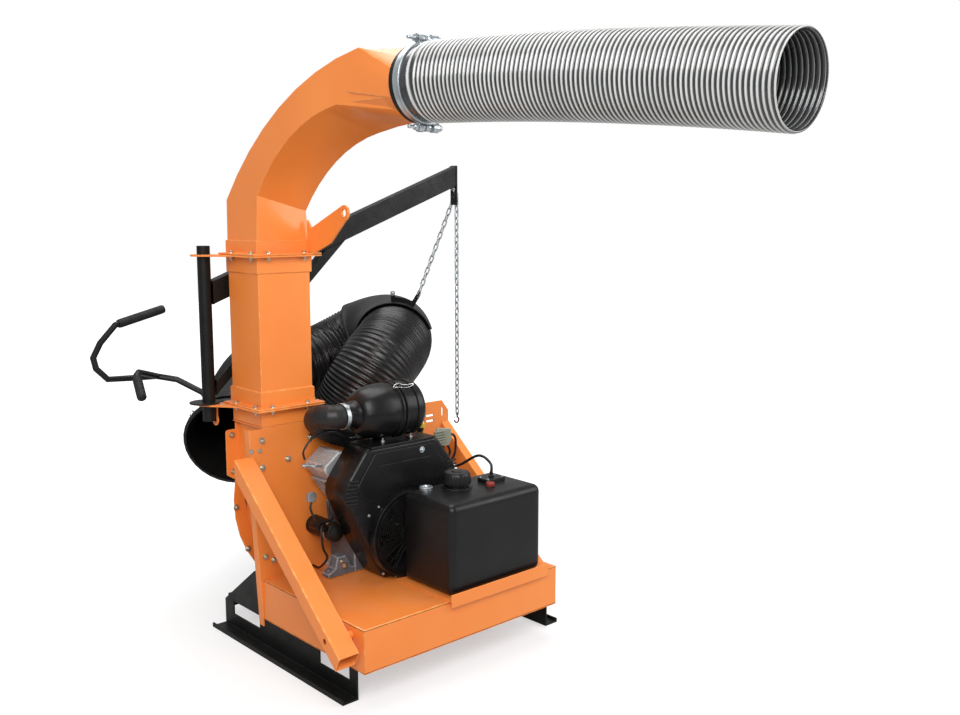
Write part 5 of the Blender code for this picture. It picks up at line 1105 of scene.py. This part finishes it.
softened("starter_motor", BLACK_COAT, (3, 4), segments=3)
STARTER = at(AXIS_X - 0.188, 0.44, AXIS_Z + 0.004)
SWITCH, BOOT = STARTER + Vector((-0.046, 0.012, 0.026)), STARTER + Vector((-0.046, 0.01, 0.026))
spun("starter_nose", [(0, 12), (14, 12), (20, 8), (30, 4), (31, 0), (0, 0)], STARTER, AHEAD, BLACK_COAT,
     steps=40)
bolts("starter_bolts", [STARTER + Vector((0.021 * math.cos(a), -0.0005, 0.021 * math.sin(a)))
                        for a in (0.6, 0.6 + math.pi)], AHEAD, 0.007, PALE_ZINC)
spun("starter_band", [(34, 0), (35.2, 0), (35.2, 10), (34, 10)], STARTER + BACK * 0.024, BACK, PALE_ZINC,
     steps=40)
spun("starter_switch", [(0, 0), (17, 0), (18, 2), (18, 60), (15, 64), (0, 64)], SWITCH, BACK, BLACK_COAT,
     steps=36)
spun("terminal_boot", [(0, 40), (3, 40), (5.5, 30), (9, 16), (11.5, 0), (0, 0)], BOOT, (-0.55, -0.75, 0.35),
     WIRE_PLASTIC, steps=24)
wires("starter_cable", [[BOOT + Vector(step) for step in ((-0.021, -0.028, 0.013), (-0.034, -0.04, 0.002),
                                                          (-0.022, -0.03, -0.06))]
                        + [(0.176, 0.452, 0.33), (0.19, 0.52, 0.276), (0.196, 0.574, 0.268)]], 0.0042,
      WIRE_PLASTIC)
# The foot takes the darker copy of the casting, whose darkness is painted shade.
prism("starter_foot", [(0.168, 0.262), (0.292, 0.262), (0.292, 0.276), (0.262, 0.286), (0.24, 0.33),
                       (0.206, 0.33), (0.196, 0.29), (0.168, 0.276)], "XZ", 0.432, 0.476, 0.004, CAST_IN_PAINTED_SHADE)
spun("oil_filter", [(0, 82), (26, 82), (34, 78), (37, 70), (37, 6), (34, 0), (0, 0)], at(0.522, 0.5, 0.352),
     RIGHT, BLACK_COAT, steps=72, ribs=18, depth=1.2, ribbed=(50, 80))
spun("oil_drain", [(0, 0), (9, 0), (9, 10), (6.5, 12), (6.5, 30), (8, 31), (8, 38), (0, 38)],
     at(0.256, 0.446, 0.3), (-0.8, -0.6, -0.05), ZINC, steps=18)
bolts("starter_foot_bolts", [(0.182, 0.454, 0.2765), (0.278, 0.454, 0.2765), (0.222, 0.4318, 0.312)],
      [UP, UP, AHEAD], 0.011)

# Carburettor and muffler
# The carburettor sits in the V, between its two manifolds and behind the governor's plate, spring and rod.
# The muffler is a black drum with three seams on the right.

softened("carburettor", CAST, (2.5, 20), segments=3)
spun("float_bowl", [(0, 0), (4, 0), (18, 2), (22, 8), (23, 34), (0, 34)], at(AXIS_X, 0.452, 0.592), UP, CAST,
     steps=36)
for label, side in SIDES:
    wires("manifold_" + label, [[(AXIS_X + side * 0.03, 0.5, 0.604), (AXIS_X + side * 0.056, 0.5, 0.606),
                                 on_bank(side, 0.228, -0.052, 0.5)]], 0.0155, CAST, sides=24)
prism("governor_plate", [(0.3, 0.735), (0.47, 0.735), (0.486, 0.748), (0.486, 0.764), (0.29, 0.764),
                         (0.29, 0.748)], "XZ", 0.43, 0.4325, 0.0008, PALE_ZINC)
bolts("governor_bolts", [(x, 0.4298, 0.752) for x in (0.304, 0.352, 0.428, 0.474)], AHEAD, 0.01)
COIL_STEPS, COIL_TURN, COIL_RADIUS = 220, 0.571, 0.0042
coil = [(0.32 + 0.085 * i / COIL_STEPS, 0.4235 + COIL_RADIUS * math.cos(i * COIL_TURN),
         0.7425 + COIL_RADIUS * math.sin(i * COIL_TURN)) for i in range(COIL_STEPS + 1)]
wires("governor_spring", [coil], 0.0008, PALE_ZINC, eased=False, sides=6)
wires("throttle_rod", [[(0.262, 0.424, 0.744), (0.32, 0.4235, 0.7425)], [(0.405, 0.4235, 0.7425),
                       (0.498, 0.426, 0.747)]], 0.0016, PALE_ZINC, eased=False, sides=8)

softened("muffler", BLACK_COAT, (6, 6), segments=3)
for i, x in enumerate((0.548, 0.655, 0.757)):
    spun(f"muffler_seam_{i}", [(51, -3), (53, -2), (53, 2), (51, 3)], at(x, 0.505, 0.3123), RIGHT, BLACK_COAT,
         steps=48)
wires("exhaust_pipes", [[(0.64, 0.505, 0.352), (0.64, 0.505, 0.4), on_bank(1, 0.2, 0.09, 0.505),
                         on_bank(1, 0.215, 0.056, 0.505)], [(0.74, 0.52, 0.29), (0.775, 0.52, 0.285),
                         (0.796, 0.52, 0.275)]], 0.0125, BLACK_COAT, sides=20)

# Oil filler, regulator and leads
# The filler tube with its yellow cap and the finned regulator stand on the right. Leads and the fuel line
# have black sheaths, and the small hardware is zinc plated.

LEANING = (0.1, 0.0, 1.0)
spun("oil_filler_tube", [(11, 0), (11, 110), (14, 112), (14, 124), (0, 124)], at(0.56, 0.428, 0.612), LEANING,
     BLACK_COAT, steps=24)
YELLOW = finish("yellow_cap_plastic", (0.72, 0.46, 0.02), (0.84, 0.56, 0.04), 50.0,
                (0.35, 0.5), 600.0, 0.0002)
spun("dipstick_cap", [(0, 0), (16, 0), (17, 3), (16, 14), (12, 18), (0, 18)], at(0.572, 0.428, 0.7355),
     LEANING, YELLOW, steps=48, ribs=12, depth=1.0, ribbed=(2, 14.5))
OLIVE = finish("olive_connector", (0.19, 0.2, 0.15), (0.27, 0.28, 0.21), 40.0, (0.4, 0.55),
               700.0, 0.0003, wear_and_highlight=(0.4, 0.4, 0.35))
prism("regulator_body", [(0.652, 0.65), (0.712, 0.645), (0.726, 0.664), (0.724, 0.708), (0.664, 0.718),
                         (0.65, 0.7)], "XZ", 0.43, 0.446, 0.003, OLIVE)
row("regulator_fins", (0.664, 0.4275, 0.656), (0.664, 0.4275, 0.706), 0.0098, (0.004, 0.01, 0.05), 0.0008,
    OLIVE)
for name, radius, material, lines in (
        ("regulator_bracket", 0.005, BLACK_COAT, [
            [(0.69, 0.438, 0.648), (0.69, 0.44, 0.61), (0.64, 0.446, 0.58), (0.6, 0.452, 0.56)]]),
        ("right_leads", 0.0048, WIRE_PLASTIC, [
            [(0.722, 0.44, 0.69), (0.752, 0.44, 0.668), (0.752, 0.446, 0.6), (0.712, 0.47, 0.545),
             (0.64, 0.5, 0.5), (0.56, 0.52, 0.47)],
            [(0.716, 0.446, 0.652), (0.73, 0.446, 0.61), (0.7, 0.456, 0.56), (0.61, 0.47, 0.5)]]),
        ("fuel_line", 0.005, WIRE_PLASTIC, [
            [(0.663, 0.147, TANK_TOP + 0.03), (0.663, 0.15, TANK_TOP + 0.062),
             (0.655, 0.205, TANK_TOP + 0.082), (0.64, 0.3, TANK_TOP + 0.03), (0.636, 0.41, TANK_TOP + 0.006),
             (0.56, 0.44, 0.64), (0.44, 0.45, 0.632)]]),
        ("left_leads", 0.0036, WIRE_PLASTIC, [
            [(0.25, 0.44, 0.748), (0.205, 0.444, 0.768), (0.13, 0.446, 0.762), (0.09, 0.448, 0.722),
             (0.094, 0.45, 0.69)],
            [(0.118, 0.446, 0.552), (0.106, 0.44, 0.52), (0.128, 0.436, 0.478), (0.178, 0.44, 0.462),
             (0.206, 0.452, 0.47)]]),
        ("left_bracket_rod", 0.0042, PALE_ZINC, [
            [(0.086, 0.45, 0.672), (0.12, 0.45, 0.664), (0.168, 0.452, 0.656)]])):
    wires(name, lines, radius, material)
bolts("left_rod_nuts", [(0.094, 0.45, 0.67), (0.128, 0.45, 0.6625)], LEFT, 0.012, PALE_ZINC, stud=0.006)
prism("left_clip", [(0.098, 0.545), (0.128, 0.54), (0.134, 0.566), (0.12, 0.578), (0.1, 0.574)], "XZ", 0.44,
      0.456, 0.002, PALE_ZINC)

# Air cleaner
# A moulded black drum across the engine: a domed end with shallow ribs, two flanges held together by wire
# clips, a ringed cap, and a rubber bend with a strap that leads down to the carburettor.

CLEANER_X, CLEANER_Y, CLEANER_Z, CAN_LENGTH = 0.455, 0.385, 0.832, 0.25
CLEANER = at(CLEANER_X, CLEANER_Y, CLEANER_Z)
DOME_STEPS = 14
drum = [(0, 250), (41.5, 250), (42, 222), (46, 212), (50, 204)]
for step in range(1, DOME_STEPS + 1):
    angle = math.pi / 2 * step / DOME_STEPS
    drum.append((50 + 44 * math.sin(angle), 204 - 112 * (1 - math.cos(angle))))
drum += [(94, 70), (96, 68), (100, 67), (100.5, 65), (100.5, 61), (100, 59), (95.5, 58), (95, 52), (100, 51),
         (100.8, 49), (100.8, 44), (100, 42), (94.5, 41), (93.5, 0), (0, 0)]
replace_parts(spun("domed_cleaner_can", drum, CLEANER, LEFT, SHROUD_PLASTIC, steps=96, ribs=8, depth=1.6,
                 ribbed=(100, 202)), "air_cleaner_can")
prism("cleaner_bracket", [(0.352, 0.352), (0.448, 0.352), (0.448, 0.42), (0.352, 0.42)], "XY", 0.7285, 0.76,
      0.003, SHROUD_PLASTIC)
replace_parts(spun("ringed_cleaner_cap", [
    (0, 0.3), (94.5, 0.3), (97.5, 2), (98, 20), (95, 28), (90, 35), (86, 35.2), (84.5, 32.5), (72, 32.5),
    (70, 36.5), (66, 36.5), (64, 33.5), (48, 33.5), (46, 40), (30, 41.2), (0, 41.5)], CLEANER, RIGHT,
    SHROUD_PLASTIC, steps=96), "air_cleaner_cap")
clips = []
for a in (math.radians(-32), math.radians(88)):
    out, along = Vector((0, math.sin(a), math.cos(a))), Vector((0, math.cos(a), -math.sin(a)))
    for sign in (-1, 1):
        clips.append([CLEANER + RIGHT * x + out * r + along * (sign * w) for x, r, w in (
            (-0.074, 0.0975, 0.002), (-0.068, 0.1035, 0.006), (-0.05, 0.105, 0.011), (-0.036, 0.1, 0.009),
            (-0.01, 0.0965, 0.006), (0.004, 0.1, 0.004), (0.01, 0.103, 0.0))])
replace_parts(wires("cleaner_wire_clips", clips, 0.0017, BRIGHT), "cleaner_latch")
START = CLEANER_X - CAN_LENGTH - 0.0003
bend = [(START, CLEANER_Y, CLEANER_Z), (START - 0.022, 0.387, CLEANER_Z), (START - 0.044, 0.407, CLEANER_Z),
        (START - 0.052, 0.447, 0.827), (START - 0.03, 0.5, 0.802), (0.23, 0.532, 0.764), (0.3, 0.528, 0.73),
        (0.368, 0.507, 0.705), (AXIS_X, 0.498, 0.662)]
walled(ribbed_tube("rubber_intake_bend", smooth_path(placed(bend), 120, 0.02, 6), SLEEVE_RUBBER, radius=0.04,
                   rib=0.0012, ribs=26, sides=40, sharpness=3.0, plain=(0.03, 0.0)), "intake_elbow", 0.003)
softened("elbow_clamp", PALE_ZINC, (0.4, 5))
bolts("elbow_clamp_screw", [(START, CLEANER_Y - 0.03, CLEANER_Z + 0.036)], Vector((0, -0.6, 0.8)), 0.009,
      PALE_ZINC)
bolts("bracket_studs", [(x, y, 0.7315) for x in (0.34, 0.462) for y in (0.345, 0.41)], UP, 0.009, PALE_ZINC,
      stud=0.008)

low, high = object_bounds()
